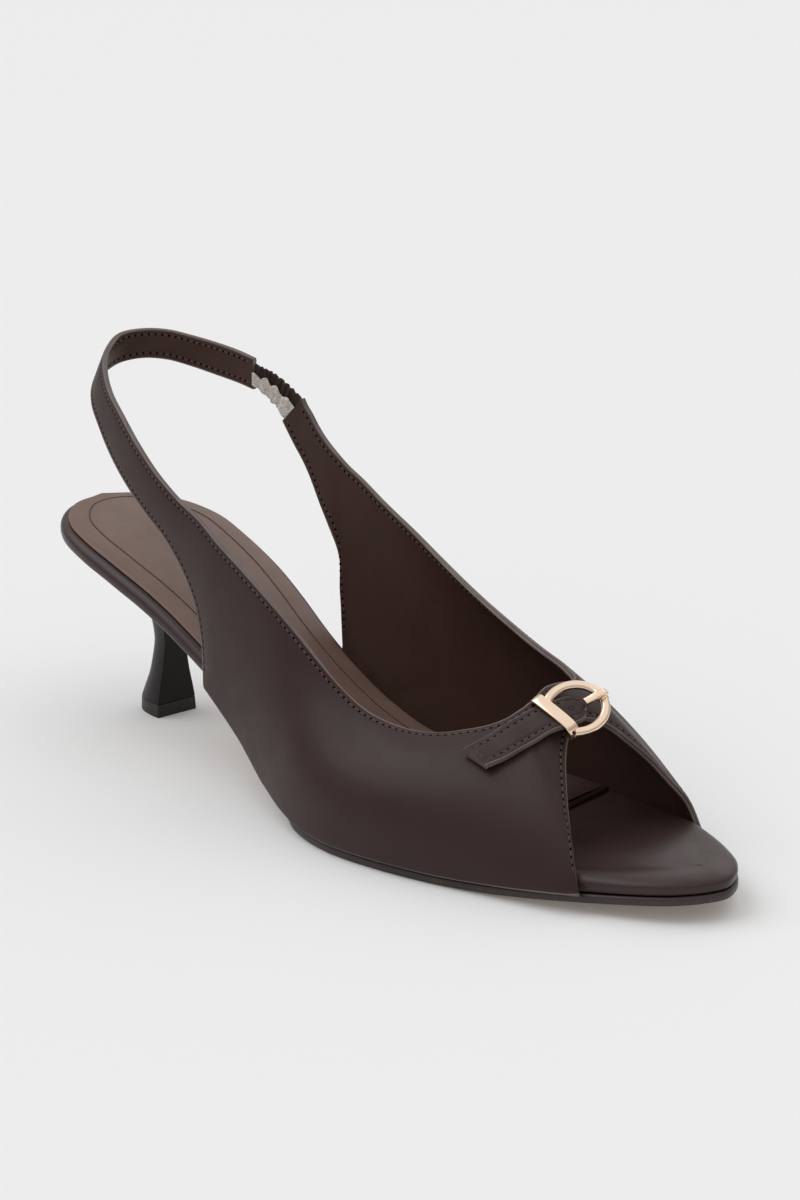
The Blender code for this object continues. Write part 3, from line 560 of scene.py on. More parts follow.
# Near-black discs between the stitches: painted shade of the needle holes.
NEEDLE_HOLE_SHADE = plain("needle_hole_shade", (0.0035, 0.0024, 0.0022), (0.0022, 0.0016, 0.0015), 0.9, 900.0, 0.2,
              Specular_IOR_Level=0.05)
BED_LEATHER = leather("footbed_leather", (0.0430, 0.0232, 0.0212), (0.0360, 0.0195, 0.0178), 0.38, 0.18, 0.12,
                      0.26)
# The sock darkens towards the toe between x 0.022 and 0.060 m: painted shade of the upper over it.
SOCK = leather("sock_leather_painted_shade", (0.182, 0.113, 0.089), (0.150, 0.090, 0.070), 0.44, 0.28, 0.0, 0.35,
               (0.022, 0.060, (0.036, 0.0180, 0.0145)))
SOCK_THREAD = plain("sock_thread", (0.090, 0.048, 0.038), (0.068, 0.036, 0.028), 0.70, 2200.0, 0.5)
# Dark discs between the sock's stitches: painted shade of its needle holes.
SOCK_NEEDLE_HOLE_SHADE = plain("sock_needle_hole_shade", (0.040, 0.020, 0.016), (0.030, 0.015, 0.012), 0.9, 900.0, 0.2)
SOLE_EDGE_MAT = plain("sole_edge", (0.036, 0.0215, 0.0190), (0.026, 0.0155, 0.0140), 0.42, 500.0, 0.3)
SOLE_BOTTOM = plain("sole_bottom", (0.330, 0.215, 0.140), (0.270, 0.170, 0.108), 0.60, 260.0, 0.5)
HEEL_LEATHER = leather("heel_leather", (0.0105, 0.0062, 0.0058), (0.0082, 0.0049, 0.0046), 0.38, 0.16, 0.04,
                       0.20)
TIP_RUBBER = plain("tip_rubber", (0.0125, 0.0070, 0.0064), (0.0090, 0.0052, 0.0048), 0.50, 900.0, 0.4)
METAL = plain("pale_gold", (0.93, 0.73, 0.56), (0.90, 0.69, 0.52), 0.13, 300.0, 0.02, 1.0)
ELASTIC = elastic_cloth()


def capsule(points, half_width, half_height, across):
    """Small stitch: a flattened lozenge along a line, lying on the surface."""
    rings = []
    for share, size in ((0.0, 0.35), (0.16, 0.85), (0.5, 1.0), (0.84, 0.85), (1.0, 0.35)):
        middle = points[0] * (1 - share) + points[1] * share
        for k in range(6):
            angle = math.pi * k / 3
            rings.append(middle + across[0] * half_width * size * math.cos(angle)
                         + across[1] * half_height * size * math.sin(angle))
    return rings


def stitch_run(lines, pitch=STITCH_PITCH, long=STITCH_LONG, radius=THREAD, ends=0.0008, hole=HOLE):
    """Stitches, and dark discs between them as painted shade of the needle holes, along lines of (points,
    surface normals).
    """
    verts = []
    faces = []
    marks = []
    for points, normals in lines:
        run = run_along(points)
        count = int((run[-1] - 2 * ends - long) / pitch)
        if count < 1:
            continue
        first = (run[-1] - count * pitch - long) / 2
        for k in range(count + 1):
            spots = first + k * pitch + np.array([0.0, long])
            at = at_spots(spots, run, points)
            up = unit(np.array([np.interp(spots.mean(), run, normals[:, j]) for j in range(3)]))
            ahead = unit(at[1] - at[0])
            side = unit(np.cross(up, ahead))
            start = len(verts)
            verts += capsule(at, radius, radius * 0.75, (side, up))
            faces += tube_faces(5, 6, start)
            faces.append(tuple(start + j for j in range(5, -1, -1)))
            faces.append(tuple(start + 24 + j for j in range(6)))
            marks += [0] * 26
            # Painted shade: a dark disc on the surface between stitches stands for the needle hole.
            if hole and k < count:
                spot = first + k * pitch + (pitch + long) / 2
                centre = np.array([np.interp(spot, run, points[:, j]) for j in range(3)]) - up * 0.00002
                start = len(verts)
                for size, rise in ((1.0, -0.00012), (1.0, 0.00001), (0.80, 0.00005)):
                    for j in range(8):
                        angle = math.pi * j / 4
                        verts.append(centre + ahead * hole * 0.92 * size * math.cos(angle)
                                     + side * hole * size * math.sin(angle) + up * rise)
                faces += tube_faces(3, 8, start)
                faces.append(tuple(start + j for j in range(7, -1, -1)))
                faces.append(tuple(start + 16 + j for j in range(8)))
                marks += [1] * 18
    return verts, faces, marks


RIB_STEPS = 10
EDGE_ROWS = (0.45, 0.75, 1.05, 1.32, 1.60, 1.88, 2.20, 2.80)
RIM = ((-0.16, 0.02), (-0.04, 0.10), (0.00, 0.24), (0.00, 0.42), (-0.15, 0.52),
       (-0.15, 0.58), (-0.02, 0.66), (-0.02, 0.84), (-0.12, 0.97))
MIDDLE_ROWS = 13


def rib_curves():
    """Outer line, inner line and belly of the upper, and where it stands on the sole."""
    stand = np.array(STAND_OUT) * (LENGTH, WALL)
    lines = {}
    for line, side in ((LATERAL, -1), (MEDIAL, 1)):
        reach = UPPER_GAP + WALL + np.interp(line[:, 0], stand[:, 0], stand[:, 1])
        lines[side] = moved_out(line, reach, side)

    def sole_point(x, side):
        y = float(np.interp(x, lines[side][:, 0], lines[side][:, 1]))
        drop = np.interp(x / LENGTH, (WRAP_FROM, WRAP_TO), (WRAP_DROP, 0.0))
        return (x, y, seat(x) - float(drop))

    outer, inner, belly, corners, on_sole = [], [], [], [], []
    for row in RIBS:
        name, along, out, up, in_along, in_out, in_up, b_out, b_up, b_ahead, corner = row
        side = 1 if name.startswith("medial") else -1
        if out is None:
            outer.append(sole_point(along * LENGTH, side))
        else:
            outer.append(np.array((along, out, up)) * SIZES)
        on_sole.append(side if out is None else 0)
        inner.append(np.array((in_along, in_out, in_up)) * SIZES)
        belly.append(np.array((b_ahead, b_out, b_up)) * SIZES)
        corners.append(corner)
    outer = through(outer, RIB_STEPS, corners)
    standing = np.zeros(len(outer), bool)
    for k in range(len(outer)):
        low = k // RIB_STEPS
        high = min(low + (1 if k % RIB_STEPS else 0), len(on_sole) - 1)
        if on_sole[low] and on_sole[low] == on_sole[high]:
            outer[k] = sole_point(outer[k][0], on_sole[low])
            standing[k] = True
    return outer, through(inner, RIB_STEPS), through(belly, RIB_STEPS), standing


def steadied(values, times=6):
    values = np.array(values, float)
    for _ in range(times):
        padded = np.concatenate([values[:1], values, values[-1:]])
        values = (padded[:-2] + 2 * padded[1:-1] + padded[2:]) / 4
    return values


def eased(grid, times):
    """Rows of points averaged with their neighbours, the first and last kept."""
    grid = grid.copy()
    for _ in range(times):
        grid[1:-1] = (grid[:-2] + 2 * grid[1:-1] + grid[2:]) / 4
    return grid


def make_upper():
    """Leather shell from ribs: skin, lining and rims in edge paint with a painted highlight, then its
    stitches.
    """
    outer, inner, belly, standing = rib_curves()
    count = len(outer)
    samples = 81
    t = np.linspace(0.0, 1.0, samples)[None, :, None]
    side = np.sign(outer[:, 1] + inner[:, 1])
    blend = np.minimum(1.0, np.abs(outer[:, 1] + inner[:, 1]) / (HALF_BALL * 0.2))
    lift = belly * np.stack([np.ones(count), side * blend, np.ones(count)], 1)
    control = (outer + inner) / 2 + 2 * lift
    dense = (1 - t) ** 2 * outer[:, None] + 2 * t * (1 - t) * control[:, None] + t * t * inner[:, None]
    steps = np.linalg.norm(np.diff(dense, axis=1), axis=2)
    run = np.concatenate([np.zeros((count, 1)), np.cumsum(steps, axis=1)], 1)
    length = run[:, -1]

    def slant(edge, rib):
        turn = np.linalg.norm(np.cross(unit(np.gradient(edge, axis=0)), unit(rib)), axis=1)
        return steadied(1.0 / np.clip(turn, 0.33, 1.0))

    low_scale = slant(outer, dense[:, 1] - dense[:, 0])
    high_scale = slant(inner, dense[:, -1] - dense[:, -2])
    low_d = np.array(EDGE_ROWS)[None, :] * MM * low_scale[:, None]
    high_d = length[:, None] - np.array(EDGE_ROWS[::-1])[None, :] * MM * high_scale[:, None]
    share = np.linspace(0, 1, MIDDLE_ROWS + 2)[1:-1]
    share = (share + smooth_step(share, 0, 1)) / 2
    mid_d = low_d[:, -1:] + (high_d[:, :1] - low_d[:, -1:]) * share[None, :]
    spots = np.concatenate([low_d, mid_d, high_d], 1)

    def on_rib(distance):
        out = np.zeros((count, distance.shape[1], 3))
        for i in range(count):
            for j in range(3):
                out[i, :, j] = np.interp(distance[i], run[i], dense[i, :, j])
        return out

    rows = spots.shape[1]
    surface = on_rib(spots)
    inward = np.minimum(np.arange(rows), rows - 1 - np.arange(rows))
    calm = smooth_step(inward, len(EDGE_ROWS) - 2, len(EDGE_ROWS) + 2)[None, :, None]
    once = eased(surface, 36)
    surface = surface + (once + eased(surface - once, 36) - surface) * calm
    full = on_rib(np.concatenate([np.zeros((count, 1)), spots, length[:, None]], 1))
    along = np.gradient(full, axis=0)
    across = np.gradient(full, axis=1)
    normal = unit(np.cross(across, along))
    middle = normal[3 * RIB_STEPS, rows // 2]
    if np.dot(middle, full[3 * RIB_STEPS, rows // 2] * (1, 1, 0) - np.array((0.2, 0, 0)) * SIZES) < 0:
        normal = -normal
    edge_row = len(EDGE_ROWS)
    height = np.zeros((count, rows))
    for k in range(edge_row):
        d = EDGE_ROWS[k]
        groove = -0.11 * math.exp(-((d - 1.60) / 0.28) ** 2) + 0.05 * math.exp(-((d - 0.85) / 0.4) ** 2)
        curl = -0.30 * max(0.0, 1.0 - d / 1.4) ** 2
        height[:, k] = np.where(standing, curl, groove)
        height[:, rows - 1 - k] = groove
    height[:, 0] -= 0.05
    height[:, -1] -= 0.05
    skin = surface + normal[:, 1:-1] * height[:, :, None] * MM
    lining = surface - normal[:, 1:-1] * (WALL + np.minimum(height, 0.0)[:, :, None] * MM * 0.6)

    def rim(edge, n, flip):
        step = unit(np.gradient(edge, axis=0))
        away = unit(np.cross(step, n))
        inside = surface[:, 2] if flip < 0 else surface[:, -3]
        sign = np.sign(np.sum(away * (edge - inside), axis=1))
        away = away * sign[:, None]
        away = unit(np.stack([steadied(away[:, j], 2) for j in range(3)], 1))
        return np.stack([edge + away * e * MM - n * w * WALL for e, w in RIM], 1)

    top_rim = rim(inner, normal[:, -1], 1)
    low_rim = rim(outer, normal[:, 0], -1)
    low_rim[standing] -= (normal[:, 0] * 0.0004)[standing][:, None]
    loop = np.concatenate([skin, top_rim, lining[:, ::-1], low_rim[:, ::-1]], 1)
    columns = loop.shape[1]
    verts = loop.reshape(-1, 3)
    faces = tube_faces(count, columns)
    kind = np.array([0] * (rows - 1) + [2] * (len(RIM) + 1) + [1] * (rows - 1) + [2] * (len(RIM) + 1))
    index = np.tile(kind, count - 1)
    caps = []
    for i in (0, count - 1):
        base = i * columns
        first = base + rows + len(RIM)
        for k in range(rows - 1):
            caps.append((base + k, base + k + 1, first + rows - 2 - k, first + rows - 1 - k))
        caps.append(tuple(base + rows - 1 + k for k in range(len(RIM) + 2)))
        caps.append((*(first + rows - 1 + k for k in range(len(RIM) + 1)), base))
    faces = faces + caps
    index = np.concatenate([index, [2] * len(caps)])
    item = add_piece("upper_shell", verts, faces, (LEATHER, LINING, EDGE_PAINT_AND_HIGHLIGHT), index, ("upper",), 50.0)
    face_outwards(item)

    lines = []
    row = EDGE_ROWS.index(1.60)
    free = ~standing
    spans = []
    start = None
    for i in range(count + 1):
        if i < count and free[i]:
            start = i if start is None else start
        elif start is not None:
            spans.append((start, i))
            start = None
    for a, b in spans:
        lines.append((skin[a:b, row], normal[a:b, row + 1]))
        lines.append((lining[a:b, row], -normal[a:b, row + 1]))
    lines.append((skin[:, rows - 1 - row], normal[:, rows - row]))
    lines.append((lining[:, rows - 1 - row], -normal[:, rows - row]))
    for points, ns in lines:
        points += ns * THREAD * 0.25
    verts, faces, marks = stitch_run(lines)
    add_piece("upper_stitches", verts, faces, (THREAD_MAT, NEEDLE_HOLE_SHADE), marks)


def rounded_plate(name, lateral, medial, low, high, edge, materials, node, tips, crown=None,
                  across=25, bottom_index=0, grow=None):
    """Closed plate: edge is inset in metres and share of height, from the bottom to the top."""
    loop = np.concatenate([lateral, medial[::-1]])
    keep = np.ones(len(loop), bool)
    if tips[1]:
        keep[len(lateral)] = False
    if tips[0]:
        keep[-1] = False
    loop = loop[keep]
    step = unit(np.roll(loop, -1, axis=0) - np.roll(loop, 1, axis=0))
    outward = np.stack([step[:, 1], -step[:, 0]], 1)
    verts = []
    for inset, share in edge:
        reach = np.full(len(loop), inset)
        if grow and share > 0.5:
            reach = inset * grow(loop[:, 0])
        ring = loop - outward * reach[:, None]
        z = low(ring[:, 0]) + (high(ring[:, 0]) - low(ring[:, 0])) * share
        verts.append(np.column_stack([ring, z]))
    size = len(loop)
    faces = tube_faces(len(edge), size)
    index = [0] * len(faces)
    verts = [v for ring in verts for v in ring]
    for number, level, mark in ((0, low, bottom_index), (len(edge) - 1, high, 0)):
        ring = [number * size + k for k in range(size)]
        last = len(lateral) - 1
        rows = []
        for k in range(last + 1):
            left = ring[k]
            right = ring[(size - k) % size] if tips[0] else ring[size - 1 - k]
            if left == right or (k == last and tips[1]):
                rows.append([left])
                continue
            row = [left]
            for j in range(1, across):
                share = j / across
                p = verts[left] * (1 - share) + verts[right] * share
                z = level(p[0])
                if crown is not None and number:
                    z = z + crown(p[0], p[1], share)
                row.append(len(verts))
                verts.append(np.array((p[0], p[1], z)))
            row.append(right)
            rows.append(row)
        for first, second in zip(rows, rows[1:]):
            for k in range(max(len(first), len(second)) - 1):
                if len(first) == 1:
                    faces.append((first[0], second[k + 1], second[k]))
                elif len(second) == 1:
                    faces.append((first[k], first[k + 1], second[0]))
                else:
                    faces.append((first[k], first[k + 1], second[k + 1], second[k]))
                index.append(mark)
    item = add_piece(name, np.array(verts), faces, materials, index, (node,), 60.0)
    face_outwards(item)
    return item


def quarter(reach, low, high, steps, top):
    """Rounded corner rows from the widest point up (or from the bottom to it)."""
    rows = []
    for k in range(steps + 1):
        angle = math.pi / 2 * k / steps
        if top:
            rows.append((reach * (1 - math.cos(angle)), low + (high - low) * math.sin(angle)))
        else:
            rows.append((reach * (1 - math.sin(angle)), low + (high - low) * (1 - math.cos(angle))))
    return rows


def make_bed_and_sole():
    steps = 150
    lateral = between(LATERAL, 0.0, 1.0, steps)
    medial = between(MEDIAL, 0.0, 1.0, steps)
    edge = quarter(0.0007, 0.0, 0.34, 5, False) + quarter(0.0024, 0.42, 1.0, 12, True)

    def crown(x, y, share):
        rise = smooth_step(x, 0.76 * LENGTH, 0.86 * LENGTH)
        fade = 1 - smooth_step(x, 0.87 * LENGTH, 0.985 * LENGTH)
        return TOE_PAD_CROWN * (rise * fade) * math.sin(math.pi * share) ** 1.7

    def grow(x):
        return 1 + 2.4 * smooth_step(x, 0.85 * LENGTH, 0.97 * LENGTH)

    rounded_plate("footbed_cover", lateral, medial, seat, footbed_top, edge, (BED_LEATHER,),
                  "footbed", (True, True), crown, 29, 0, grow)
    table = np.array(SOLE_EDGE)
    start = (HEEL_FRONT + BREAST_GAP) / LENGTH
    sides = []
    for line, side in ((LATERAL, -1), (MEDIAL, 1)):
        out = np.interp(line[:, 0], table[:, 0] * LENGTH, table[:, 1] * HALF_BALL)
        sides.append(between(moved_out(line, out, side), start, 1.0, steps))
    sides[1][-1] = sides[0][-1]
    edge = ((0.0007, 0.0), (0.0002, 0.08), (0.0, 0.22), (0.0, 0.78), (0.0002, 0.92), (0.0005, 1.0))
    rounded_plate("sole", sides[0], sides[1], ground, lambda x: ground(x) + OUTSOLE_THICK, edge,
                  (SOLE_EDGE_MAT, SOLE_BOTTOM), "outsole", (False, True), None, 25, 1)


def make_sock():
    steps = 150
    inside_lateral = moved_out(LATERAL, -SOCK_INSET, -1)
    inside_medial = moved_out(MEDIAL, -SOCK_INSET, 1)
    lateral = between(inside_lateral, 0.0, SOCK_END_LATERAL, steps)
    medial = between(inside_medial, 0.0, SOCK_END_MEDIAL, steps)
    medial[0] = lateral[0]
    edge = ((0.0003, 0.0), (0.0, 0.30), (0.0002, 0.70), (0.0008, 0.92), (0.0014, 1.0))

    def crown(x, y, share):
        return SOCK_CROWN * math.sin(math.pi * share) ** 0.6

    rounded_plate("sock_lining", lateral, medial, lambda x: footbed_top(x) + GAP * 0.4, sock_top, edge,
                  (SOCK,), "sock", (True, False), crown, 30)
    inset = SOCK_INSET + SOCK_STITCH_IN
    path = np.concatenate([between(moved_out(MEDIAL, -inset, 1), 0.02, SOCK_END_MEDIAL - 0.02, 120)[::-1],
                           between(moved_out(LATERAL, -inset, -1), 0.02, SOCK_END_LATERAL - 0.02, 120)])
    near = np.interp(path[:, 0], LATERAL[:, 0], LATERAL[:, 1])
    far = np.interp(path[:, 0], MEDIAL[:, 0], MEDIAL[:, 1])
    share = np.clip((path[:, 1] - near) / (far - near), 0.0, 1.0)
    z = sock_top(path[:, 0]) + SOCK_CROWN * np.sin(math.pi * share) ** 0.6 + 0.00005
    points = np.column_stack([path, z])
    step = np.gradient(path[:, 0])
    slope = np.gradient(ground(path[:, 0])) / np.where(np.abs(step) < 1e-9, 1e9, step)
    normals = unit(np.column_stack([-slope, 0 * slope, 1 + 0 * slope]))
    verts, faces, marks = stitch_run([(points, normals)], SOCK_PITCH, SOCK_STITCH_LONG, SOCK_THREAD_RADIUS,
                                     0.0008, SOCK_HOLE)
    add_piece("sock_stitches", verts, faces, (SOCK_THREAD, SOCK_NEEDLE_HOLE_SHADE), marks)


def heel_ring(front, depth, half, power, steps):
    points = []
    for k in range(steps + 1):
        angle = -math.pi / 2 + math.pi * k / steps
        ca = abs(math.cos(angle)) ** (2.0 / power)
        sa = abs(math.sin(angle)) ** (2.0 / power) * math.copysign(1.0, angle)
        points.append((front - depth * ca, half * sa))
    return points


def solid_rings(name, rings, materials, node, bevel):
    """Closed solid through rings of equal size, its sharp edges rounded."""
    size = len(rings[0])
    verts = np.concatenate(rings)
    faces = tube_faces(len(rings), size)
    last = (len(rings) - 1) * size
    faces.append(tuple(range(size - 1, -1, -1)))
    faces.append(tuple(last + k for k in range(size)))
    item = add_piece(name, verts, faces, materials, None, (node,), 40.0)
    face_outwards(item)
    item.data.set_sharp_from_angle(angle=math.radians(40))
    mod = item.modifiers.new("edges", "BEVEL")
    mod.width = bevel
    mod.segments = 3
    mod.limit_method = "ANGLE"
    mod.angle_limit = math.radians(40)
    mod.harden_normals = True
    return item


def make_heel():
    rows = through(np.array(HEEL), 5)
    foot = HEEL_TIP_TALL + 0.0001
    tall = seat(HEEL_FRONT) - GAP * 0.4 - foot
    rings = []
    for up, front, depth, half, power, slope in rows:
        ring = np.array(heel_ring(front * HEEL_FRONT, depth * HEEL_FRONT, half * HALF_BALL, power, 44))
        z = foot + up * tall + slope * (seat(ring[:, 0]) - seat(front * HEEL_FRONT))
        rings.append(np.column_stack([ring, z]))
    solid_rings("heel_cover", rings, (HEEL_LEATHER,), "heel", 0.00045)
    up, front, depth, half, power, slope = HEEL[0]
    ring = np.array(heel_ring(front * HEEL_FRONT, depth * HEEL_FRONT, half * HALF_BALL, power, 44))
    centre = np.array(((front - depth / 2) * HEEL_FRONT, 0.0))
    rings = []
    for share, grow in ((0.0, 1.03), (0.3, 1.02), (0.6, 1.01), (1.0, 1.0)):
        spread = centre + (ring - centre) * grow
        rings.append(np.column_stack([spread, np.full(len(ring), share * HEEL_TIP_TALL)]))
    solid_rings("heel_top_piece", rings, (TIP_RUBBER,), "heel_tip", 0.0003)


def section_of_band(wide, thick, puff=0.06, dent=0.10):
    """Cross section of a two layer band: right side, underside, left side, top."""
    half = wide / 2
    side = ((0.30, 0.0), (0.10, 0.05), (0.0, 0.18), (0.0, 0.44), (0.13, 0.51), (0.0, 0.58), (0.0, 0.82),
            (0.10, 0.95), (0.30, 1.0))
    right = [(half - e * MM, thick * (0.5 - w)) for e, w in side]
    inset = half - STITCH_INSET
    top = []
    for x in (-half + 0.8 * MM, -inset - 0.35 * MM, -inset, -inset + 0.35 * MM, -half * 0.3, 0.0,
              half * 0.3, inset - 0.35 * MM, inset, inset + 0.35 * MM, half - 0.8 * MM):
        depth = dent if abs(abs(x) - inset) < 0.0001 else -puff
        top.append((x, thick / 2 - depth * MM))
    bottom = [(x, -thick / 2) for x, y in top[::-1]]
    left = [(-x, y) for x, y in right[::-1]]
    return right + bottom + left + top


def swept(middle, across, out, section, width=None, shear=None):
    """Rings of a section moved along a line."""
    rings = []
    width = np.ones(len(middle)) if width is None else width
    run = unit(np.gradient(middle, axis=0))
    for i in range(len(middle)):
        ring = []
        for x, y in section:
            p = middle[i] + across[i] * x * width[i] + out[i] * y
            if shear is not None:
                p = p + run[i] * x * shear[i]
            ring.append(p)
        rings.append(ring)
    return np.array(rings)


def closed_sweep(name, rings, materials, node=(), index=None, sharp=40.0):
    """Closed piece through the rings, with a flat cap at each end."""
    count, size = rings.shape[:2]
    faces = tube_faces(count, size)
    marks = [0] * len(faces) if index is None else list(index)
    faces.append(tuple(range(size - 1, -1, -1)))
    faces.append(tuple((count - 1) * size + k for k in range(size)))
    marks += [marks[0], marks[0]]
    item = add_piece(name, rings.reshape(-1, 3), faces, materials, marks, node, sharp)
    face_outwards(item)
    item.data.set_sharp_from_angle(angle=math.radians(sharp))
    return item


def resampled(points, step):
    """Points at even steps; the first three columns are the place, others follow."""
    run = run_along(points[:, :3])
    count = max(2, int(run[-1] / step))
    spots = np.linspace(0, run[-1], count + 1)
    return at_spots(spots, run, points), spots


def make_buckle_strap():
    rows = through(np.array(TAIL), 24)
    middle = (rows[:, :3] + BUCKLE_AT) * SIZES
    tilt = rows[:, 3] * STRAP_TILT
    line, spots = resampled(np.column_stack([middle, tilt]), 0.00025)
    middle = np.stack([steadied(line[:, j], 60) for j in range(3)], 1)
    middle[0], middle[-1] = line[0, :3], line[-1, :3]
    long = spots[-1]
    eased_on = np.sin(math.pi * np.clip((spots - 0.0040) / (long - 0.0040), 0.0, 1.0)) ** 2
    middle = middle + eased_on[:, None] * np.array((0.0007, 0.0, -0.0002))
    tilt = steadied(line[:, 3], 60)
    run = unit(np.gradient(middle, axis=0))
    across = np.stack([np.cos(tilt), 0 * tilt, -np.sin(tilt)], 1)
    out = unit(np.cross(run, across))
    out = out * np.sign(out[:, 2:3])
    out = unit(np.stack([steadied(out[:, j], 40) for j in range(3)], 1))
    drop = 0.0012 * smooth_step(spots, 0.008, 0.017) * (1 - 0.35 * smooth_step(spots, long - 0.007, long))
    middle = middle - out * drop[:, None]
    run = unit(np.gradient(middle, axis=0))
    across = unit(np.cross(out, run))
    across = across * np.sign(across[:, :1])
    half = STRAP_WIDE / 2
    corner = 0.0040
    close = np.clip(1 - (spots + 0.0002) / corner, 0, 1)
    width = 1 - (corner / half) * (1 - np.sqrt(np.clip(1 - close ** 2, 0.0, 1)))
    shear = -0.20 * smooth_step(spots, long - 0.008, long)
    section = section_of_band(STRAP_WIDE, STRAP_THICK)
    rings = swept(middle, across, out, section, width, shear)
    closed_sweep("buckle_strap_band", rings, (LEATHER, EDGE_PAINT_AND_HIGHLIGHT), ("buckle_strap",),
                 [1 if (k % len(section)) < 8 or 20 <= (k % len(section)) < 28 else 0
                  for k in range((len(rings) - 1) * len(section))], 50.0)
    inset = half - STITCH_INSET
    lines = []
    keep = (spots > 0.0026) & (spots < long - 0.0014)
    top = out * (STRAP_THICK / 2 - 0.00004)
    for sign in (-1, 1):
        points = middle + across * inset * sign + top + run * (inset * sign * shear)[:, None]
        lines.append((points[keep], out[keep]))
    for spot, trim in ((long - 0.0016, 0.0), (0.0016, 0.0010)):
        at = int(np.argmin(np.abs(spots - spot)))
        spread = np.linspace(-inset + trim, inset - trim, 12)
        points = np.array([middle[at] + across[at] * x + run[at] * x * shear[at] + top[at] for x in spread])
        lines.append((points, np.repeat(out[at:at + 1], 12, 0)))
    verts, faces, marks = stitch_run(lines, STITCH_PITCH, STITCH_LONG, THREAD, 0.0002)
    add_piece("buckle_strap_stitches", verts, faces, (THREAD_MAT, NEEDLE_HOLE_SHADE), marks)
    # The strap's hole: a shallow cup in the near-black hole material, painted shade of the hole's depth.
    at = int(np.argmin(np.abs(spots - STRAP_HOLE_AT)))
    sides = 20
    verts = []
    for size, rise in ((1.25, -0.00002), (1.15, 0.00004), (0.85, -0.00004), (0.80, -0.0005)):
        radius = STRAP_HOLE_RADIUS * size
        for k in range(sides):
            a = 2 * math.pi * k / sides
            verts.append(middle[at] + out[at] * (STRAP_THICK / 2 + 0.00006 + rise)
                         + across[at] * radius * math.cos(a) + run[at] * radius * math.sin(a))
    faces = tube_faces(4, sides)
    faces.append(tuple(3 * sides + k for k in range(sides)))
    add_piece("buckle_strap_hole", verts, faces, (NEEDLE_HOLE_SHADE,), None)


def buckle_point(ahead, medial, above):
    """Point in the buckle's plane, which leans towards the toe and the lateral side."""
    return BUCKLE_AT * SIZES + BUCKLE_AHEAD * ahead + BUCKLE_ACROSS * medial + BUCKLE_ABOVE * above


def round_rect(wide, thick, radius, steps=4, crown=0.0):
    """Rectangle with round corners, its top side crowned if asked."""
    points = []
    for cx, cy, start in ((1, 1, 0), (-1, 1, 90), (-1, -1, 180), (1, -1, 270)):
        for k in range(steps + 1):
            a = math.radians(start + 90 * k / steps)
            points.append((cx * (wide / 2 - radius) + radius * math.cos(a),
                           cy * (thick / 2 - radius) + radius * math.sin(a)))
        if crown and cy > 0 and cx > 0:
            points += [(x * wide / 2, thick / 2 + crown * (1 - (2 * x) ** 2)) for x in (0.3, 0.1, -0.1, -0.3)]
    return points


def make_buckle():
    """Round wire ring, keeper over the strap, and the prong hooked on the ring."""
    path = []
    for k in range(73):
        angle = math.radians(RING_SPAN[0] + (RING_SPAN[1] - RING_SPAN[0]) * k / 72)
        path.append(buckle_point(RING_RADIUS * math.cos(angle), RING_RADIUS * math.sin(angle), 0.0))
    path = np.array(path)
    up = np.repeat(unit(BUCKLE_ABOVE)[None, :], len(path), 0)
    side = unit(np.cross(up, np.gradient(path, axis=0)))
    section = []
    for k in range(36):
        a = 2 * math.pi * k / 36
        dent = 0.10 * MM * math.exp(-((math.degrees(a) - 90) / 13) ** 2)
        section.append(((RING_WIRE[0] - dent) * math.cos(a), (RING_WIRE[1] - dent) * math.sin(a)))
    closed_sweep("buckle_ring_wire", swept(path, side, up, section), (METAL,), ("buckle_ring",))

    shape = ((-1.03, -0.9), (-1.05, -0.1), (-1.03, 0.75), (-0.97, 1.35), (-0.86, 1.72), (-0.5, 1.86),
             (0.0, 1.90), (0.5, 1.80), (0.80, 1.55), (0.93, 1.05), (0.99, 0.3), (1.02, -0.6), (1.03, -1.5))
    near = -RING_RADIUS * math.sin(math.radians(25.0)) - 0.0024
    path = np.array([buckle_point(r * KEEPER_HALF - KEEPER_SHIFT, near, u * MM)
                     for r, u in through(np.array(shape), 5)])
    side = np.repeat(unit(BUCKLE_ACROSS)[None, :], len(path), 0)
    up = unit(np.cross(np.gradient(path, axis=0), side))
    up = up * np.sign(up[len(up) // 2] @ BUCKLE_ABOVE)
    section = round_rect(KEEPER_WIDE, BAR_THICK, 0.00024, 4, 0.00007)
    closed_sweep("buckle_keeper", swept(path, side, up, section), (METAL,), ("buckle_bar",))

    shares = ((0.31, 1.10, 0.15), (0.305, 1.00, 0.235), (0.28, 0.86, 0.255), (0.25, 0.70, 0.245),
              (0.21, 0.50, 0.225), (0.155, 0.30, 0.205))
    path = np.array([buckle_point(*(RING_RADIUS * np.array(row))) for row in through(np.array(shares), 4)])
    lean = unit(path[-1] - path[0])
    side = np.repeat(unit(np.cross(lean, BUCKLE_ABOVE))[None, :], len(path), 0)
    up = unit(np.cross(side, np.gradient(path, axis=0)))
    up = up * np.sign(up[len(up) // 2] @ BUCKLE_ABOVE)
    rings = swept(path, side, up, round_rect(PRONG_WIDE, PRONG_THICK, 0.00028))
    closed_sweep("buckle_tongue", rings, (METAL,), ("buckle_prong",))
    turn = math.atan2(1.0, 0.31)
    away = BUCKLE_AHEAD * math.cos(turn) + BUCKLE_ACROSS * math.sin(turn)
    tangent = unit(np.cross(BUCKLE_ABOVE, away))
    rings = []
    for k in range(9):
        at = buckle_point(0, 0, 0) + away * RING_RADIUS + tangent * (k / 8 - 0.5) * PRONG_LOOP_LONG
        size = 0.00142 if 0 < k < 8 else 0.00126
        rings.append([at + away * size * math.cos(a) + BUCKLE_ABOVE * size * 0.84 * math.sin(a)
                      for a in np.linspace(0, 2 * math.pi, 24, endpoint=False)])
    closed_sweep("buckle_tongue_loop", np.array(rings), (METAL,), (), None, 60.0)


